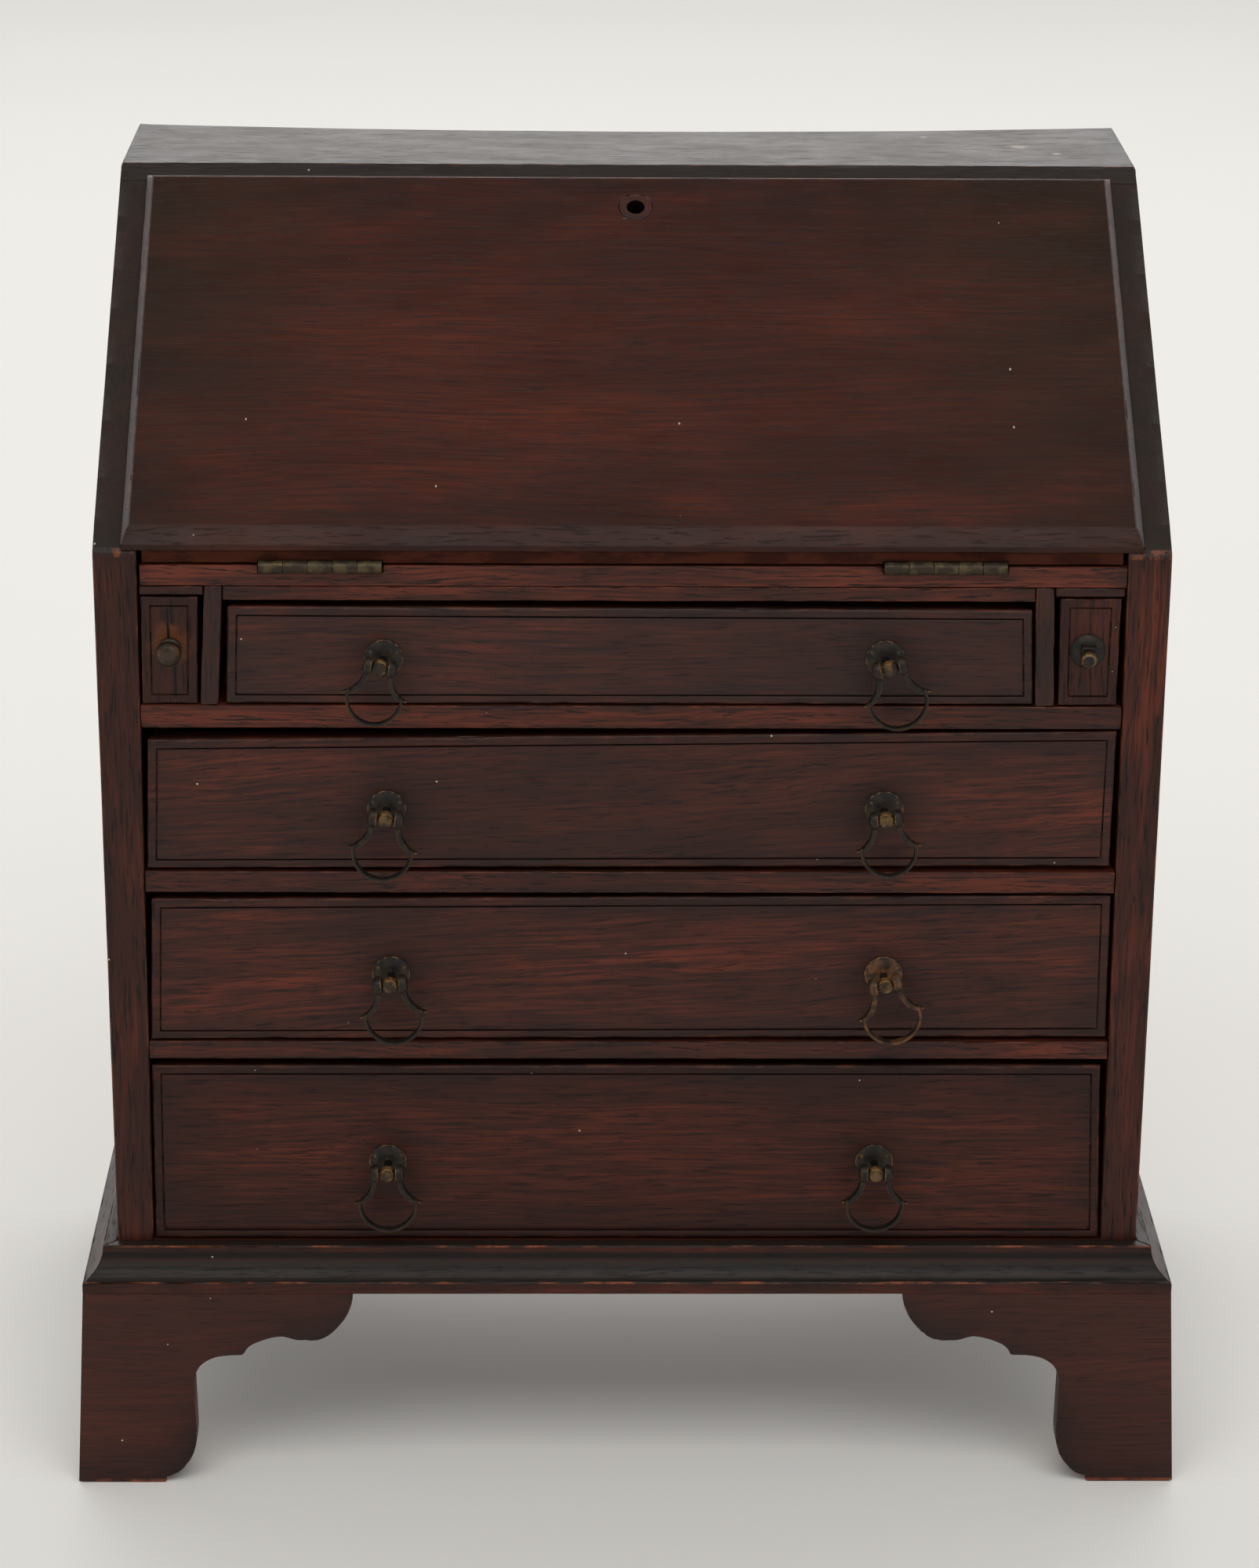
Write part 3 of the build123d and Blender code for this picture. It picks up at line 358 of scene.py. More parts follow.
def mahogany(name, grain, seed, pores=0.5, dull=0.0, wear=0.75, end_grain_and_shade_facing=None, richness=1.0,
             figured=1.0, shine=SHINE, marks=None):
    """Old polished mahogany: fine red and dark streaks, open pores, rims darker towards their edges,
    painted shade at the foot of grooves, worn arrises.

    The faces that look one given way are nearly black: darker end grain on the slanted edges of
    the sides, painted shade on the upward faces of the plinth, and the same dark tone over the faces
    of the top that look up the slope. richness is how red the wood is and figured how strongly it
    is marked; dull takes the red down all over, wear shows bare wood on the arrises, and marks
    paints stains and cracks over the colour.
    """
    n = Nodes(name)
    place = n.millimetres()
    along = n.place(place, turn=grain, offset=(17.0 * seed, 9.0 * seed, 5.0 * seed))
    drift = n.noise(n.place(along, scale=(0.011, 0.05, 0.05)), detail=2.0)
    bend = n.new("ShaderNodeVectorMath", operation="MULTIPLY_ADD")
    n.link(drift.outputs["Color"], bend.inputs[0])
    bend.inputs[1].default_value = (0.0, 8.0, 8.0)
    n.link(along, bend.inputs[2])
    wavy = bend.outputs[0]

    figure = n.noise(n.place(wavy, scale=(0.022, 0.55, 0.55)), detail=4.0, roughness=0.60).outputs["Fac"]
    streak = n.noise(n.place(wavy, scale=(0.045, 1.55, 1.55)), detail=3.0, roughness=0.65).outputs["Fac"]
    broad = n.noise(n.place(wavy, scale=(0.007, 0.07, 0.07)), detail=3.0).outputs["Fac"]
    fibre = n.noise(n.place(wavy, scale=(0.10, 3.0, 3.0)), detail=3.0, roughness=0.6).outputs["Fac"]
    dash = n.noise(n.place(wavy, scale=(0.13, 2.2, 2.2)), detail=2.0, roughness=0.6).outputs["Fac"]
    blotch = n.noise(n.place(along, scale=(0.011, 0.024, 0.024)), detail=3.0, roughness=0.55).outputs["Fac"]

    open_pores = n.ramp(dash, 0.56, 0.66)
    red = n.ramp(figure, 0.28, 0.70, 1.0 - 0.40 * figured, 1.0)
    red = n.math("MULTIPLY", red, n.ramp(streak, 0.30, 0.66, 1.0 - 0.60 * figured, 1.10))
    red = n.math("MULTIPLY", red, n.ramp(broad, 0.34, 0.64, 1.0 - 0.30 * figured, 1.0))
    red = n.math("MULTIPLY", red, n.ramp(blotch, 0.36, 0.60, 1.0 - 0.42 * figured, 1.0))
    red = n.math("MULTIPLY", red, richness)
    patch = n.noise(n.place(along, scale=(0.04, 0.09, 0.09)), detail=3.0).outputs["Fac"]
    # darker towards the edges of each board, and round the pulls that fingers touch
    darkening = n.math("MULTIPLY", n.attribute("rim"), n.ramp(patch, 0.30, 0.62, 0.25, 1.0), clamp=True)
    clean = n.math("SUBTRACT", 1.0 - dull, n.math("MULTIPLY", darkening, 0.75), clamp=True)
    colour = n.mix(n.math("MULTIPLY", red, clean, clamp=True), MAHOGANY_DARK, MAHOGANY_RED)
    colour = n.mix(n.math("MULTIPLY", darkening, 0.35), colour, GRIME)
    colour = n.mix(n.math("MULTIPLY", open_pores, pores), colour, GRIME)
    if end_grain_and_shade_facing:
        # painted shade on the plinth's upward faces, darker end grain on the slanted edges of the sides
        end_grain_and_shade_mask = facing(n, end_grain_and_shade_facing, 0.62, 0.85)
        colour = n.mix(n.math("MULTIPLY", end_grain_and_shade_mask, n.ramp(patch, 0.25, 0.65, 0.98, 0.82)), colour, END_GRAIN_AND_SHADE)

    rub = n.noise(n.place(along, scale=(0.13, 0.45, 0.45)), detail=4.0, roughness=0.65).outputs["Fac"]
    worn = n.math("MULTIPLY", n.attribute("arris"), n.ramp(rub, 0.47, 0.68))
    colour = n.mix(n.math("MULTIPLY", worn, wear), colour, MAHOGANY_WORN)
    # painted shade: the foot of each groove is darkened nearly black
    colour = n.mix(n.math("MULTIPLY", n.attribute("cavity"), 0.9), colour, GROOVE_SHADE)
    if marks:
        colour = marks(n, place, colour)
    colour = n.mix(dust(n, place), colour, DUST)
    n.link(colour, n.shader.inputs["Base Color"])

    smear = n.noise(n.place(along, scale=(0.05, 0.12, 0.12)), detail=5.0, roughness=0.6).outputs["Fac"]
    rough = n.math("ADD", n.ramp(smear, 0.3, 0.7, 0.38, 0.48), n.math("MULTIPLY", open_pores, 0.18))
    n.link(rough, n.shader.inputs["Roughness"])
    n.shader.inputs["Specular IOR Level"].default_value = shine
    height = n.math("SUBTRACT", n.math("MULTIPLY", fibre, 0.35), n.math("MULTIPLY", open_pores, 0.65))
    height = n.math("ADD", height, n.math("MULTIPLY", smear, 0.3))
    n.bump(height, 0.35, 0.09)
    return n.material


def matt_wood(name, colour, gaps=0.0, gap_colour=None):
    """Matt wood of one colour; gaps lets another wood show in places."""
    n = Nodes(name)
    place = n.millimetres()
    patch = n.noise(n.place(place, scale=(0.11, 0.4, 0.4)), detail=4.0, roughness=0.6).outputs["Fac"]
    shown = n.ramp(patch, 0.42, 0.56, 0.0, gaps)
    n.link(n.mix(shown, colour, gap_colour or MAHOGANY_DARK), n.shader.inputs["Base Color"])
    n.shader.inputs["Roughness"].default_value = 0.75
    n.shader.inputs["Specular IOR Level"].default_value = 0.08
    return n.material


def pine(name, grain, seed):
    """Dry unpolished pine with soft growth bands, darkened by age."""
    n = Nodes(name)
    along = n.place(n.millimetres(), turn=grain, offset=(13.0 * seed, 7.0 * seed, 3.0 * seed))
    bands = n.noise(n.place(along, scale=(0.006, 0.30, 0.30)), detail=3.0).outputs["Fac"]
    fibre = n.noise(n.place(along, scale=(0.10, 4.0, 4.0)), detail=3.0).outputs["Fac"]
    aged = n.noise(n.place(along, scale=(0.03, 0.03, 0.03)), detail=4.0).outputs["Fac"]
    colour = n.mix(n.ramp(bands, 0.38, 0.66, 0.0, 0.8), PINE_LIGHT, PINE_DARK)
    colour = n.mix(n.ramp(fibre, 0.45, 0.75, 0.0, 0.5), colour, PINE_DARK)
    colour = n.mix(n.ramp(aged, 0.40, 0.75, 0.0, 0.6), colour, PINE_AGED)
    n.link(colour, n.shader.inputs["Base Color"])
    n.link(n.ramp(fibre, 0.3, 0.7, 0.62, 0.82), n.shader.inputs["Roughness"])
    n.bump(fibre, 0.5, 0.08)
    return n.material


# ---------------------------------------------------------------- metal
def patinated_brass(name, seed, ground, cloud_colour, rubbed_colour, rub=0.5, copper=0.15):
    """Brass gone nearly black, with a clouded tarnish and metal showing on the rubbed arrises."""
    n = Nodes(name)
    place = n.place(n.millimetres(), offset=(31.0 * seed, 11.0 * seed, 3.0 * seed))
    cloud = n.noise(n.place(place, scale=(0.45, 0.45, 0.45)), detail=4.0).outputs["Fac"]
    speck = n.noise(n.place(place, scale=(1.5, 1.5, 1.5)), detail=4.0, roughness=0.7).outputs["Fac"]
    colour = n.mix(n.ramp(cloud, 0.40, 0.64), ground, cloud_colour)
    colour = n.mix(n.ramp(speck, 0.62, 0.80, 0.0, copper), colour, COPPER_RED)
    rubbed = n.math("MULTIPLY", n.attribute("arris"), n.ramp(speck, 0.62 - rub * 0.4, 0.86 - rub * 0.4))
    shown = n.mix(n.ramp(cloud, 0.45, 0.65, 0.0, min(1.0, copper * 2)), rubbed_colour, COPPER_RED)
    colour = n.mix(rubbed, colour, shown)
    colour = n.mix(n.attribute("cavity"), colour, GRIME)
    n.link(colour, n.shader.inputs["Base Color"])
    n.link(n.ramp(rubbed, 0.0, 0.5, 0.35, 0.95), n.shader.inputs["Metallic"])
    n.link(n.ramp(speck, 0.3, 0.7, 0.36, 0.58), n.shader.inputs["Roughness"])
    n.shader.inputs["Specular IOR Level"].default_value = 0.32
    n.bump(n.math("ADD", speck, cloud), 0.35, 0.08)
    return n.material


# ---------------------------------------------------------------- worn copies of CAD nodes
def face_width(face):
    """How wide a face is across its longest edge, in mm."""
    longest = max(edge.calc_length() for edge in face.edges)
    return face.calc_area() / max(longest, 1e-9) / MM


def mark_arrises(bm, narrow_mm=NARROW):
    """Vertex layers: arris on the crest of each rounded edge, cavity at the foot of each groove."""
    arris = bm.verts.layers.float.new("arris")
    cavity = bm.verts.layers.float.new("cavity")
    narrow = {face for face in bm.faces if face_width(face) < narrow_mm}
    for vert in bm.verts:
        faces = vert.link_faces
        if not faces or any(face not in narrow for face in faces):
            continue
        if all(edge.is_convex or not edge.is_manifold for edge in vert.link_edges):
            vert[arris] = 1.0
        elif all(not edge.is_convex for edge in vert.link_edges if edge.calc_face_angle(0.0) > 0.6):
            vert[cavity] = 1.0
    return arris


def dice(bm, cell):
    """Cut the mesh by even planes along each axis, so that it can bend and hold soft marks."""
    corners = [vert.co.copy() for vert in bm.verts]
    for axis in range(3):
        low = min(corner[axis] for corner in corners)
        high = max(corner[axis] for corner in corners)
        steps = int((high - low) / (cell * MM))
        normal = Vector([1.0 if k == axis else 0.0 for k in range(3)])
        for step in range(1, steps):
            place = normal * (low + (high - low) * step / steps)
            everything = bm.verts[:] + bm.edges[:] + bm.faces[:]
            bmesh.ops.bisect_plane(bm, geom=everything, plane_co=place, plane_no=normal, dist=WELD)


def weather(bm, arris, wobble, chips, seed):
    """Press the surface in a little by smooth noise, and the arrises in more where they are chipped."""
    shift = Vector((3.1, 7.7, 1.3)) * seed
    moves = []
    for vert in bm.verts:
        spot = vert.co / MM
        soft = 0.5 + 0.5 * noise.noise(spot * 0.045 + shift)
        bite = noise.fractal(spot * 0.33 + shift, 1.0, 2.0, 3)
        depth = wobble * soft + chips * vert[arris] * max(0.0, bite)
        moves.append(vert.normal * (-depth * MM))
    for vert, move in zip(bm.verts, moves):
        vert.co += move


def round_corners(bm, radius):
    """Round the corners of a front as it is seen from ahead."""
    xs, zs = [vert.co.x for vert in bm.verts], [vert.co.z for vert in bm.verts]
    reach = CORNER_REACH * MM
    chosen = []
    for edge in bm.edges:
        run = edge.verts[1].co - edge.verts[0].co
        middle = (edge.verts[0].co + edge.verts[1].co) / 2
        at_side = min(middle.x - min(xs), max(xs) - middle.x) < reach
        at_end = min(middle.z - min(zs), max(zs) - middle.z) < reach * 1.8
        backwards = abs(run.y) > 0.9 * run.length > 0 and run.length > 2 * MM
        if backwards and at_side and at_end and edge.is_convex:
            chosen.append(edge)
    bmesh.ops.bevel(bm, geom=chosen, offset=radius * MM, segments=4, profile=0.5, affect="EDGES")


def mark_grooves(bm):
    """Face layer: 1 on the narrow faces that meet in a sharp inner corner."""

    def inner(edge):
        return edge.is_manifold and not edge.is_convex and edge.calc_face_angle(0.0) > 0.5

    groove = bm.faces.layers.int.new("groove")
    for face in bm.faces:
        if face_width(face) < NARROW:
            face[groove] = 1 if any(inner(edge) for edge in face.edges) else 0


def worn_copy(node, material, rounding=0.35, wobble=0.10, chips=0.55, seed=1, cell=CELL,
              shape=None, min_length=0.0, rim_reach=7.0, handled=(), corners=0.0, joints=(),
              grooves=None, narrow=NARROW):
    """A worn version of a CAD node: rounded arrises, faint dents and marks, in the node's place.

    handled lists places that fingers have darkened round about, and joints the heights, in m,
    at which arrises stay crisp against the next piece. grooves holds the finish of incised
    lines that run across and of those that run upwards.
    """
    source = frame["nodes"][node]
    bm = bmesh.new()
    bm.from_mesh(source.data)
    bmesh.ops.remove_doubles(bm, verts=bm.verts, dist=WELD)
    bmesh.ops.dissolve_limit(bm, angle_limit=FLAT, verts=bm.verts, edges=bm.edges)
    if corners:
        round_corners(bm, corners)
    if rounding:
        edges = [
            edge
            for edge in bm.edges
            if edge.is_manifold and edge.is_convex and edge.calc_face_angle() > SHARP
            and edge.calc_length() > min_length * MM
            and not any(abs(vert.co.z - joint) < JOINT_REACH * MM for joint in joints for vert in edge.verts)
        ]
        bmesh.ops.bevel(bm, geom=edges, offset=rounding * MM, segments=2, profile=0.5, affect="EDGES")
    arris = mark_arrises(bm, narrow)
    mark_grooves(bm)
    dice(bm, cell)
    bm.normal_update()
    crest = [vert.co.copy() for vert in bm.verts if vert[arris] > 0.5]
    tree = KDTree(max(len(crest), 1))
    for index, place in enumerate(crest):
        tree.insert(place, index)
    tree.balance()
    rim = bm.verts.layers.float.new("rim")
    for vert in bm.verts:
        distance = tree.find(vert.co)[2] / MM if crest else rim_reach * 4
        soil = [math.exp(-(((vert.co - place).length / MM / HANDLED_REACH) ** 2)) for place in handled]
        vert[rim] = max([math.exp(-distance / rim_reach), *soil])
    weather(bm, arris, wobble, chips, seed)
    if shape:
        shape(bm)
    mesh = bpy.data.meshes.new(node + "_worn")
    bm.to_mesh(mesh)
    bm.free()
    piece = bpy.data.objects.new(node + "_worn", mesh)
    bpy.context.scene.collection.objects.link(piece)
    finish_piece(piece, material)
    if grooves:
        low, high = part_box(node)
        for line in grooves:
            piece.data.materials.append(line)
        for polygon, mark in zip(mesh.polygons, mesh.attributes["groove"].data):
            if mark.value:
                x, z = polygon.center.x, polygon.center.z
                to_side, to_end = min(x - low.x, high.x - x), min(z - low.z, high.z - z)
                upright = to_side < to_end or high.x - low.x < SLIM_FRONT * MM
                polygon.material_index = 2 if upright else 1
    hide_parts(node)
    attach(piece, source["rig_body"])
    return piece


def repaint(piece, material, chosen):
    """Give the faces of a piece that pass a test on centre and normal another finish."""
    piece.data.materials.append(material)
    for polygon in piece.data.polygons:
        if chosen(Vector(polygon.center), Vector(polygon.normal)):
            polygon.material_index = len(piece.data.materials) - 1


def finish_piece(piece, material):
    """Material, smooth shading with crisp corners."""
    piece.data.materials.append(material)
    for polygon in piece.data.polygons:
        polygon.use_smooth = True
    piece.data.set_sharp_from_angle(angle=CREASE)
    weighted = piece.modifiers.new("even shading", "WEIGHTED_NORMAL")
    weighted.keep_sharp = True


def carry_over(node, material):
    """Keep a CAD node as it is and give it its own finish."""
    shown = frame["nodes"][node]
    shown.data.materials.clear()
    shown.data.materials.append(material)


# ---------------------------------------------------------------- studio
def make_floor():
    """A plain pale floor under the feet."""
    bpy.ops.mesh.primitive_plane_add(size=FLOOR_SIZE, location=(0, 0, 0))
    floor = bpy.context.object
    floor.name = "floor"
    n = Nodes("floor_paper")
    place = n.new("ShaderNodeTexCoord").outputs["Object"]
    tone = n.noise(n.place(place, scale=(9, 9, 9)), detail=4.0).outputs["Fac"]
    colour = n.mix(n.ramp(tone, 0.3, 0.7, 0.0, 0.05), FLOOR_COLOUR, FLOOR_SHADE)
    n.link(colour, n.shader.inputs["Base Color"])
    n.shader.inputs["Roughness"].default_value = 0.85
    floor.data.materials.append(n.material)


def make_sky():
    """Soft surroundings: bright behind, dimmer in front and dim overhead."""
    world = bpy.data.worlds.new("studio")
    bpy.context.scene.world = world
    world.use_nodes = True
    tree = world.node_tree
    background = tree.nodes["Background"]
    direction = tree.nodes.new("ShaderNodeTexCoord").outputs["Generated"]
    split = tree.nodes.new("ShaderNodeSeparateXYZ")
    tree.links.new(direction, split.inputs[0])

    def band(socket, low, high, to_low, to_high):
        node = tree.nodes.new("ShaderNodeMapRange")
        node.interpolation_type = "SMOOTHSTEP"
        tree.links.new(socket, node.inputs[0])
        for index, value in enumerate((low, high, to_low, to_high), start=1):
            node.inputs[index].default_value = value
        return node.outputs[0]

    def combine(operation, a, b):
        node = tree.nodes.new("ShaderNodeMath")
        node.operation = operation
        tree.links.new(a, node.inputs[0])
        tree.links.new(b, node.inputs[1])
        return node.outputs[0]

    behind = band(split.outputs["Y"], -0.5, 0.9, 0.66, 1.42)
    low_sky = band(split.outputs["Z"], 0.50, 0.95, 1.0, 0.26)
    tree.links.new(combine("MULTIPLY", behind, low_sky), background.inputs["Strength"])
    background.inputs["Color"].default_value = SKY_COLOUR


def make_light(name, place, size, power):
    """A soft box that faces the middle of the bureau."""
    data = bpy.data.lights.new(name, "AREA")
    data.shape = "RECTANGLE"
    data.size, data.size_y = size
    data.energy = power
    data.color = LIGHT_COLOUR
    lamp = bpy.data.objects.new(name, data)
    bpy.context.scene.collection.objects.link(lamp)
    lamp.location = place
    aim = LIGHT_AIM - Vector(place)
    lamp.rotation_euler = aim.to_track_quat("-Z", "Y").to_euler()
    lamp.visible_camera = False


def make_camera():
    """The camera, a little above the desk front and looking down on it."""
    data = bpy.data.cameras.new("camera")
    data.sensor_fit = "HORIZONTAL"
    data.sensor_width = SENSOR_WIDTH
    data.lens = CAMERA_LENS
    data.clip_start = 0.05
    data.clip_end = 60.0
    camera = bpy.data.objects.new("camera", data)
    bpy.context.scene.collection.objects.link(camera)
    turn = Matrix.Rotation(math.radians(-CAMERA_YAW), 4, "Z")
    tip = Matrix.Rotation(math.radians(90 - CAMERA_PITCH), 4, "X")
    lean = Matrix.Rotation(math.radians(CAMERA_ROLL), 4, "Z")
    camera.matrix_world = Matrix.Translation(CAMERA_PLACE) @ turn @ tip @ lean
    bpy.context.scene.camera = camera


# ---------------------------------------------------------------- marks of use
def fall_marks(n, place, colour):
    """The fall is browner towards its sides and top, with small dark spots along the top."""
    split = n.new("ShaderNodeSeparateXYZ")
    n.link(place, split.inputs[0])
    out = n.math("ABSOLUTE", n.math("ADD", split.outputs["X"], 6.0))
    sideways = n.ramp(out, 35.0, 100.0, 0.0, 0.55)
    upwards = n.ramp(split.outputs["Z"], 215.0, 262.0, 0.45, 1.0)
    colour = n.mix(n.math("MULTIPLY", sideways, upwards), colour, FALL_BROWN)
    for centre, radius in FALL_SPOTS:
        spot = n.math("MULTIPLY", stain(n, place, centre, radius), 0.6)
        colour = n.mix(spot, colour, GRIME)
    return colour


def foot_marks(n, place, colour):
    """The soles have lost their polish, and the bare orange wood shows along their edges."""
    split = n.new("ShaderNodeSeparateXYZ")
    n.link(place, split.inputs[0])
    patch = n.noise(n.place(place, scale=(0.13, 0.13, 0.13)), detail=4.0, roughness=0.6).outputs["Fac"]
    sole = n.ramp(split.outputs["Z"], SOLE_WEAR[0], SOLE_WEAR[1], 1.0, 0.0)
    return n.mix(n.math("MULTIPLY", sole, n.ramp(patch, 0.38, 0.55)), colour, MAHOGANY_WORN)


def loper_marks(n, place, colour):
    """The left loper has split above and below its knob, and the screw has rusted into the wood."""
    low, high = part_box("loper_knob_left")
    knob = (low + high) / 2 / MM
    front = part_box("loper_left")[0].y / MM
    rust = stain(n, place, (knob.x, front, knob.z + 1.0), RUST_RADIUS)
    colour = n.mix(n.math("MULTIPLY", rust, 0.75), colour, RUST)
    upper = crack(n, place, "Z", knob.x - 0.3, knob.z + 1.0, knob.z + 9.5)
    lower = crack(n, place, "Z", knob.x + 0.9, knob.z - 11.5, knob.z - 2.5)
    return n.mix(n.math("MAXIMUM", upper, lower), colour, SPLIT_BLACK)


def top_marks(n, place, colour):
    """A split runs in from the left end of the top, and the right part is marked by old spills."""
    low, high = (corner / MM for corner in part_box("top_board"))
    split = crack(n, place, "X", high.y - 6.5, low.x - 4.0, low.x + 9.0, width=0.5)
    colour = n.mix(split, colour, SPLIT_BROWN)
    for across, back, radius in TOP_SPILLS:
        spill = stain(n, place, (across, back, high.z), radius, 0.9)
        colour = n.mix(n.math("MULTIPLY", spill, 0.45), colour, DUST)
    return colour


# ---------------------------------------------------------------- the drop handles
def mesh_object(bm, name):
    """A new object in the scene from a finished bmesh."""
    mesh = bpy.data.meshes.new(name)
    bm.to_mesh(mesh)
    bm.free()
    made = bpy.data.objects.new(name, mesh)
    bpy.context.scene.collection.objects.link(made)
    return made


def join_rings(bm, rings):
    """Quads between each ring of vertices and the next."""
    for ring, following in zip(rings, rings[1:]):
        count = len(ring)
        for k in range(count):
            after = (k + 1) % count
            bm.faces.new((ring[k], ring[after], following[after], following[k]))


def strap(path, depths, thicknesses):
    """A closed strip of brass swept along a path in the XZ plane, deep in Y, in mm."""
    bm = bmesh.new()
    rings = []
    for index, (x, z) in enumerate(path):
        before, after = path[max(index - 1, 0)], path[min(index + 1, len(path) - 1)]
        run = Vector((after[0] - before[0], 0, after[1] - before[1])).normalized()
        side = Vector((-run.z, 0, run.x)) * thicknesses[index] / 2
        deep = Vector((0, depths[index] / 2, 0))
        centre = Vector((x, 0, z))
        corners = (side + deep, side - deep, -side - deep, -side + deep)
        rings.append([bm.verts.new(centre + corner) for corner in corners])
    join_rings(bm, rings)
    bm.faces.new(reversed(rings[0]))
    bm.faces.new(rings[-1])
    bmesh.ops.recalc_face_normals(bm, faces=bm.faces)
    return mesh_object(bm, "strap")


def ear(sign):
    """A bead that turns on the cross pin, domed on its outer face."""
    bm = bmesh.new()
    rings = []
    for x, radius in EAR_PROFILE:
        ring = []
        for k in range(EAR_SIDES):
            angle = 2 * math.pi * k / EAR_SIDES
            place = (sign * (EAR_OUT + x), radius * math.cos(angle), radius * math.sin(angle))
            ring.append(bm.verts.new(place))
        rings.append(ring)
    join_rings(bm, rings + rings[:1])
    bmesh.ops.recalc_face_normals(bm, faces=bm.faces)
    return mesh_object(bm, "ear")


def smooth_path(points, count):
    """Even points on a Catmull-Rom curve through a few chosen ones."""
    padded = [points[0], *points, points[-1]]
    spans = len(points) - 1
    path = []
    for index in range(count + 1):
        share = index / count * spans
        k = min(int(share), spans - 1)
        t = share - k
        p0, p1, p2, p3 = (Vector(p) for p in padded[k : k + 4])
        square, cube = 2 * p0 - 5 * p1 + 4 * p2 - p3, 3 * p1 - p0 - 3 * p2 + p3
        path.append(tuple(0.5 * (2 * p1 + (p2 - p0) * t + square * t**2 + cube * t**3)))
    return path


def united(parts):
    """One closed mesh from overlapping ones."""
    body = parts[0]
    for other in parts[1:]:
        join = body.modifiers.new("join", "BOOLEAN")
        join.operation = "UNION"
        join.solver = "EXACT"
        join.object = other
    bpy.context.view_layer.update()
    evaluated = body.evaluated_get(bpy.context.evaluated_depsgraph_get())
    mesh = bpy.data.meshes.new_from_object(evaluated)
    for part in parts:
        bpy.data.objects.remove(part)
    return mesh


def thinned(full, loss, start):
    """Sizes along an arm that stay full up to a share of its length and then run down."""
    return [full - loss * max(0.0, k / ARM_STEPS - start) / (1 - start) for k in range(ARM_STEPS + 1)]


def bail_mesh():
    """The drop handle round its pivot, in mm: two ears, arms flared to wings, a round strap loop."""
    arm = smooth_path(ARM_POINTS, ARM_STEPS)
    loop = []
    for k in range(LOOP_STEPS + 1):
        angle = math.radians(LOOP_START - LOOP_SWEEP * k / LOOP_STEPS)
        loop.append((LOOP_RADIUS * math.cos(angle), LOOP_CENTRE + LOOP_RADIUS * math.sin(angle)))
    parts = [strap(loop, [LOOP_DEPTH] * len(loop), [LOOP_THICKNESS] * len(loop))]
    for sign in (-1, 1):
        path = [(sign * x, z) for x, z in arm]
        parts += [strap(path, thinned(*ARM_DEPTH), thinned(*ARM_THICKNESS)), ear(sign)]
    return united(parts)


def make_bail(body, master, finish):
    """One bail in place, hanging a little askew on its loose pin."""
    tilt, lean, size = BAILS[body]
    bm = bmesh.new()
    bm.from_mesh(master)
    bmesh.ops.remove_doubles(bm, verts=bm.verts, dist=0.002)
    edges = [e for e in bm.edges if e.is_manifold and e.is_convex and e.calc_face_angle() > BAIL_SHARP]
    bmesh.ops.bevel(bm, geom=edges, offset=BAIL_ROUNDING, segments=2, profile=0.5, affect="EDGES")
    turn = Matrix.Rotation(math.radians(tilt), 4, "Y")
    pivot = pivots[body] + Vector((lean * MM, 0, 0))
    place = Matrix.Translation(pivot) @ Matrix.Scale(MM * size, 4) @ turn
    bmesh.ops.transform(bm, matrix=place, verts=bm.verts)
    mark_arrises(bm, NARROW_BAIL)
    piece = mesh_object(bm, body + "_strap")
    finish_piece(piece, finish)
    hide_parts(body)
    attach(piece, body)


# ---------------------------------------------------------------- bent and swollen shapes
def sag(bm):
    """The top has dropped a little in the middle of its back edge."""
    low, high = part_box("top_board")
    for vert in bm.verts:
        back = max(0.0, (vert.co.y - low.y) / (high.y - low.y))
        across = 1.0 - (vert.co.x / high.x) ** 2
        vert.co.z -= TOP_SAG * MM * back * back * across


def square_up(centres, leans):
    """Shape callback: turn the front of each ball into a fuller, flatter head, and lean its post."""

    def shape(bm):
        for vert in bm.verts:
            for centre, lean in zip(centres, leans):
                out = vert.co - centre
                across = math.hypot(out.x, out.z)
                if out.length < BALL_REACH * MM and out.y < 0.4 * MM and across > 0.05 * MM:
                    wanted = HEAD_RADIUS * MM * (across / (HEAD_RADIUS * MM)) ** HEAD_FLATNESS
                    vert.co.x = centre.x + out.x / across * wanted
                    vert.co.z = centre.z + out.z / across * wanted
                if out.length < POST_REACH * MM:
                    vert.co.x += lean * MM * min(1.0, max(0.0, 1.0 - (out.y / MM - 1.0) / 3.5))

    return shape


def fat_knob(bm):
    """The left knob is a broad ball, worn and dull."""
    low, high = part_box("loper_knob_left")
    middle = (low + high) / 2
    front = low.y + KNOB_BALL * MM
    for vert in bm.verts:
        if vert.co.y < front:
            vert.co.x = middle.x + (vert.co.x - middle.x) * KNOB_SWELL
            vert.co.z = middle.z + (vert.co.z - middle.z) * KNOB_SWELL


def bent_knob(bm):
    """The right knob stands a little askew on a square shoulder."""
    low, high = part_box("loper_knob_right")
    middle = (low + high) / 2
    for vert in bm.verts:
        out = (high.y - vert.co.y) / (high.y - low.y)
        vert.co.x -= KNOB_LEAN * MM * out
        vert.co.z -= KNOB_DROOP * MM * out
    centre = (middle.x - 0.35 * MM, low.y * 0.42 + high.y * 0.58, middle.z + 0.1 * MM)
    size = (SHOULDER_WIDTH * MM, 0.5 * (high.y - low.y), SHOULDER_HEIGHT * MM)
    made = bmesh.ops.create_cube(bm, size=1.0, matrix=Matrix.LocRotScale(centre, None, size))
    edges = {edge for vert in made["verts"] for edge in vert.link_edges}
    bmesh.ops.bevel(bm, geom=list(edges), offset=0.3 * MM, segments=2, profile=0.5, affect="EDGES")


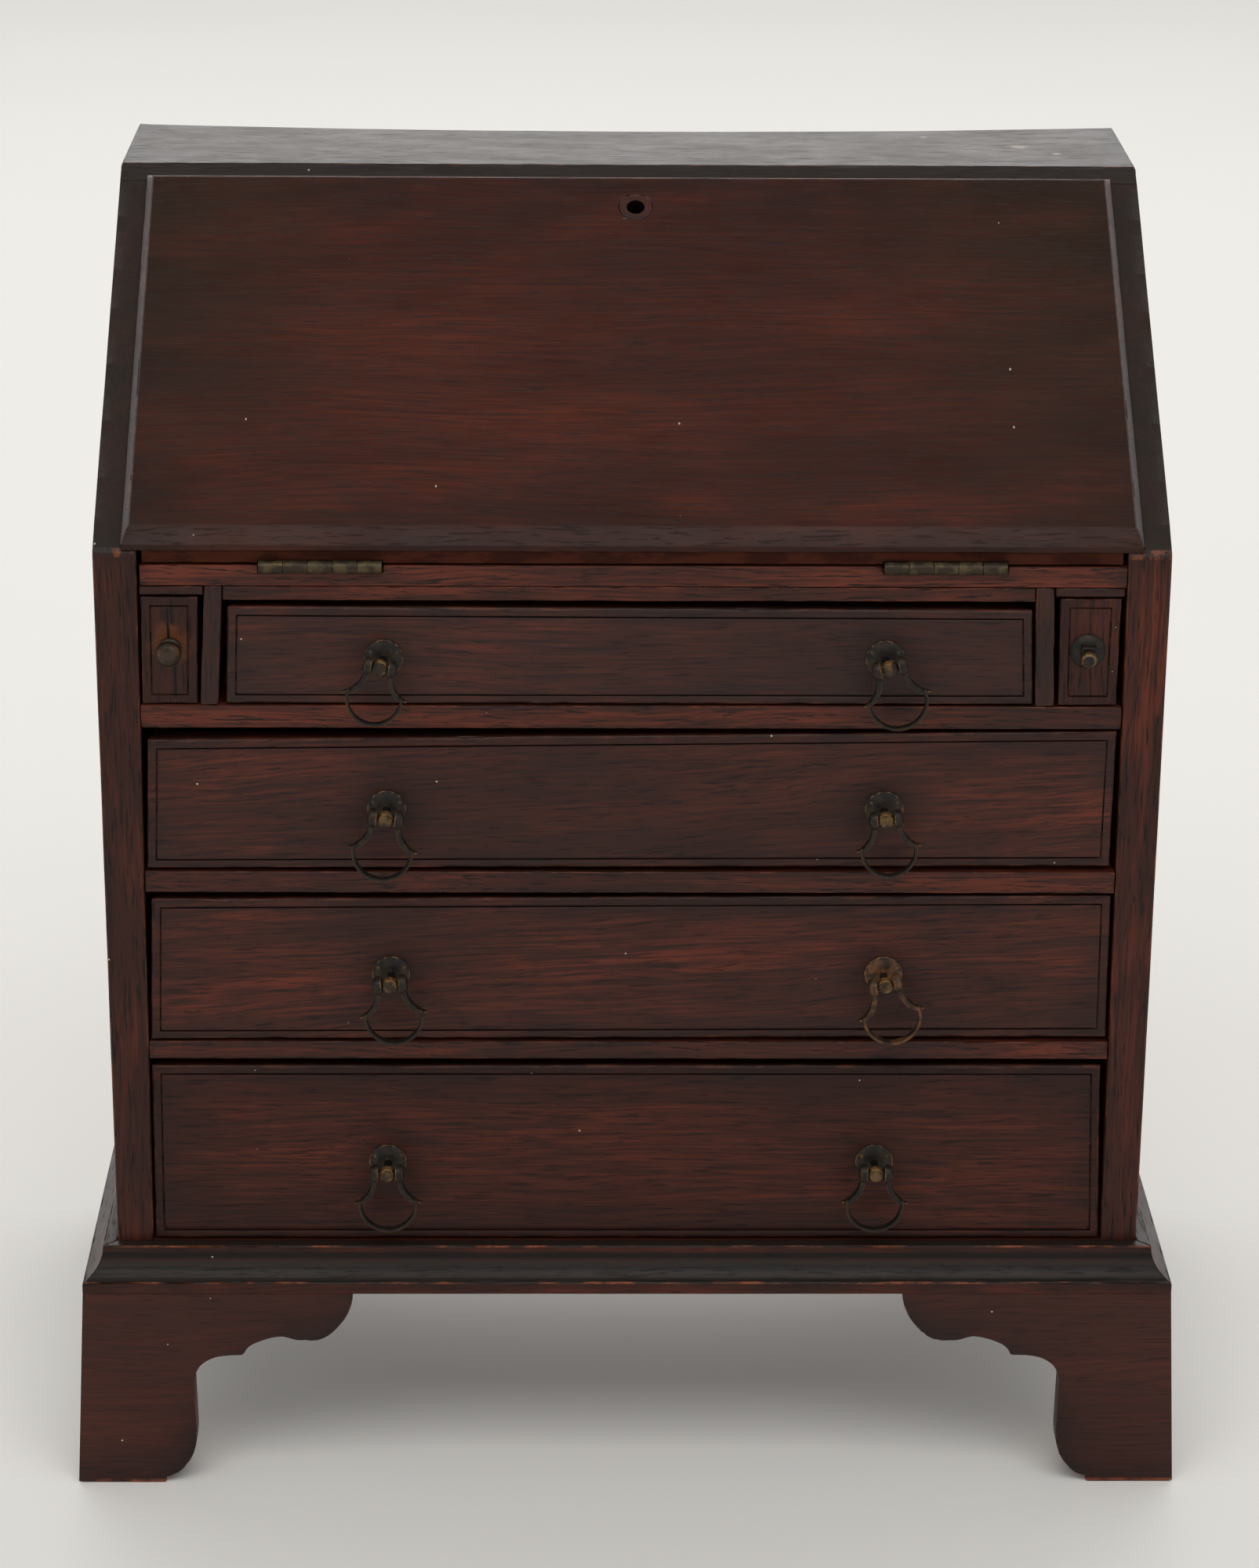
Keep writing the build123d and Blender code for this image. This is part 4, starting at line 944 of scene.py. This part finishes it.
# ---------------------------------------------------------------- sub-parts
def make_fronts():
    """Four drawer fronts, darkened round their pulls, with an incised line near the edge."""
    for number, (grain, richness, shine) in FRONTS.items():
        node = f"drawer_{number}_front"
        behind = Vector((0, ROSE_BEHIND * MM, 0))
        grips = [pivots[f"drawer_{number}_bail_{side}"] + behind for side in SIDES]
        finish = mahogany(node, grain, 3 + number, pores=0.65, dull=0.05, wear=0.22,
                          richness=richness, figured=1.55, shine=shine)
        worn_copy(node, finish, rounding=0, chips=0.3, seed=3 + number,
                  handled=grips, corners=1.1, grooves=(black_line, faint_line))


def make_fall():
    """The fall with its glossier side bevels, its lower edge painted dark as shade with bare wood
    in places, and its keyhole bush.
    """
    finish = mahogany("fall", GRAIN_X, 11, pores=0.55, wear=0.45, richness=0.80, figured=0.95,
                      shine=0.18, marks=fall_marks)
    fall = worn_copy("fall_panel", finish, rounding=0.30, min_length=8,
                     rim_reach=22, chips=0.25)
    bevel = mahogany("fall_bevel", GRAIN_X, 12, pores=0.3, wear=0.6, dull=0.4, shine=0.75)
    repaint(fall, bevel, lambda centre, normal: 0.2 < abs(normal.x) < 0.9)
    # painted shade: the fall's lower edge is painted dark and matt, with worn bare wood in patches
    shaded_edge_wood = matt_wood("shaded_bare_edge", MAHOGANY_EDGE_SHADE, gaps=0.10, gap_colour=MAHOGANY_WORN)
    repaint(fall, shaded_edge_wood, lambda centre, normal: centre.z < FALL_EDGE_TOP * MM and normal.y < -0.5)
    bush = mahogany("bush", GRAIN_X, 12, wear=0.5)
    worn_copy("keyhole_bush", bush, rounding=0.15, cell=1.0)


def make_ends():
    """Side boards, front and rear feet and lopers, the left ones and then the right ones."""
    side_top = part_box("side_left")[1].z
    foot_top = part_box("foot_front_left")[1].z
    for index, side in enumerate(SIDES):
        finish = mahogany(f"side_{side}", GRAIN_Z, 14 + index, pores=0.95, end_grain_and_shade_facing=SLOPE_OUT,
                          figured=1.45, richness=1.45 + 0.35 * index, shine=0.22)
        worn_copy(f"side_{side}", finish, rounding=0.45, joints=(side_top,))
        finish = mahogany(f"foot_{side}", GRAIN_X, 21 + index, pores=0.4, dull=0.3, wear=1.0,
                          richness=0.85, shine=0.26, marks=foot_marks)
        for end in ("front", "rear"):
            worn_copy(f"foot_{end}_{side}", finish, rounding=0.4, rim_reach=5,
                      joints=(foot_top,))
        finish = mahogany(f"loper_{side}", GRAIN_Z, 27 + index, pores=0.95, wear=0.5, figured=1.35,
                          shine=0.22, richness=1.5 - 0.5 * index,
                          marks=loper_marks if side == "left" else None)
        worn_copy(f"loper_{side}", finish, rounding=0,
                  grooves=(faint_line, faint_line), corners=0.6)


def make_top_and_plinth():
    """The sagging top board and the moulded plinth, whose upward faces are painted nearly black as shade."""
    side_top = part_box("side_left")[1].z
    foot_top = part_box("foot_front_left")[1].z
    finish = mahogany("top", GRAIN_X, 17, pores=0.4, dull=0.35, end_grain_and_shade_facing=SLOPE_OUT, figured=0.7,
                      marks=top_marks)
    worn_copy("top_board", finish, rounding=0.3, shape=sag, joints=(side_top,))
    # painted shade: the plinth's cove and ledge, which look up and forwards, are painted nearly black
    finish = mahogany("plinth_front", GRAIN_X, 31, pores=0.6, wear=1.0, end_grain_and_shade_facing=(0.0, -0.5, 0.87),
                      richness=1.2, shine=0.22)
    worn_copy("plinth_front", finish, rounding=0.25, joints=(foot_top,))
    # painted shade: the upward faces of the plinth's sides are painted nearly black
    finish = mahogany("plinth_sides", GRAIN_Y, 33, end_grain_and_shade_facing=(0, 0, 1))
    worn_copy("plinth_sides", finish, rounding=0.25, joints=(foot_top,))


def make_rails():
    """The rails between the drawers and the pieces over and beside the lopers."""
    for index, (node, richness) in enumerate(RAILS.items()):
        finish = mahogany(node, GRAIN_X, 41 + index, pores=0.95, figured=1.5, richness=richness,
                          shine=0.25)
        worn_copy(node, finish, rounding=0.3, min_length=2, cell=2.0, rim_reach=2)
    finish = mahogany("dividers", GRAIN_Z, 47, pores=0.9, figured=1.4, richness=1.3)
    worn_copy("loper_dividers", finish, rounding=0.3)


def make_inside():
    """Boards behind the fronts: pine linings, and mahogany where the open desk shows it."""
    across = pine("lining_x", GRAIN_X, 1)
    backwards = pine("lining_y", GRAIN_Y, 2)
    upright = pine("lining_z", GRAIN_Z, 3)
    for node in ("backboard", "dust_boards", "drawer_stops"):
        carry_over(node, across)
    carry_over("bottom_board", mahogany("bottom_board", GRAIN_X, 49, dull=0.6))
    carry_over("foot_blocks", upright)
    carry_over("pigeonhole_shelf", mahogany("shelf_mahogany", GRAIN_X, 51))
    carry_over("pigeonhole_partitions", mahogany("partition_mahogany", GRAIN_Y, 52))
    for number in FRONTS:
        carry_over(f"drawer_{number}_sides", backwards)
        carry_over(f"drawer_{number}_back", across)
        carry_over(f"drawer_{number}_bottom", backwards)


def make_pulls():
    """Eight bails, then the roses and posts of each drawer, with ball heads rubbed by fingers."""
    master = bail_mesh()
    for body in sorted(pivots):
        make_bail(body, master, copper_brass if body == BRIGHT_PULL else black_brass)
    for number in FRONTS:
        names = [f"drawer_{number}_bail_{side}" for side in SIDES]
        heads = [pivots[name] for name in names]
        leans = [BAILS[name][1] for name in names]
        mounts = worn_copy(f"drawer_{number}_pull_mounts", black_brass, rounding=0,
                           wobble=0.05, chips=0.1, cell=0.8, shape=square_up(heads, leans),
                           narrow=NARROW_MOUNT)
        head_reach = HEAD_PAINT * MM
        repaint(mounts, handled_brass, lambda c, normal: min((c - h).length for h in heads) < head_reach)
        if BRIGHT_PULL in names:
            bright = heads[names.index(BRIGHT_PULL)]
            repaint(mounts, copper_brass, lambda c, normal: c.x > 0 and (c - bright).length >= head_reach)


def make_knobs():
    """The two loper knobs, which don't match."""
    for node, finish, shape in (("loper_knob_left", knob_brass, fat_knob),
                                ("loper_knob_right", black_brass, bent_knob)):
        worn_copy(node, finish, rounding=0, wobble=0.05, chips=0.1, cell=0.7,
                  shape=shape, narrow=NARROW_KNOB)


def make_hinges():
    """The two butt hinges of the fall."""
    for node in ("hinge_bed_leaves", "hinge_fall_leaves", "hinge_pins"):
        worn_copy(node, hinge_brass, rounding=0, wobble=0.03, chips=0.0, cell=1.0)
    for node in ("hinge_bed_screws", "hinge_fall_screws"):
        carry_over(node, hinge_brass)


# ---------------------------------------------------------------- the bureau
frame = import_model()
make_camera()
make_floor()
make_sky()
make_light("back_box", *BACK_BOX)
make_light("front_box", *FRONT_BOX)
bpy.context.scene.view_settings.view_transform = "Standard"

pivots = {joint["child"]: Vector(joint["pos_m"]) for joint in frame["joints"] if "bail" in joint["child"]}

black_line = matt_wood("black_line", GRIME, gaps=0.6)
faint_line = matt_wood("faint_line", FAINT, gaps=1.0, gap_colour=FAINT_GAP)
make_fronts()
make_fall()
make_ends()
make_top_and_plinth()
make_rails()
make_inside()

black_brass = patinated_brass("black_brass", 1, PATINA_BLACK, PATINA_BROWN, BRASS_DULL, 0.7, 0.15)
handled_brass = patinated_brass("handled_brass", 2, PATINA_BROWN, PATINA_AMBER, BRASS_GOLD, 0.75, 0.4)
copper_brass = patinated_brass("copper_brass", 3, PATINA_BROWN, PATINA_COPPER, BRASS_GOLD, 0.35, 0.4)
hinge_brass = patinated_brass("hinge_brass", 4, PATINA_BROWN, PATINA_OLIVE, BRASS_DULL, 0.8, 0.05)
knob_brass = patinated_brass("knob_brass", 5, PATINA_BROWN, PATINA_DULL, PATINA_OLIVE, 0.4, 0.3)
make_pulls()
make_knobs()
make_hinges()
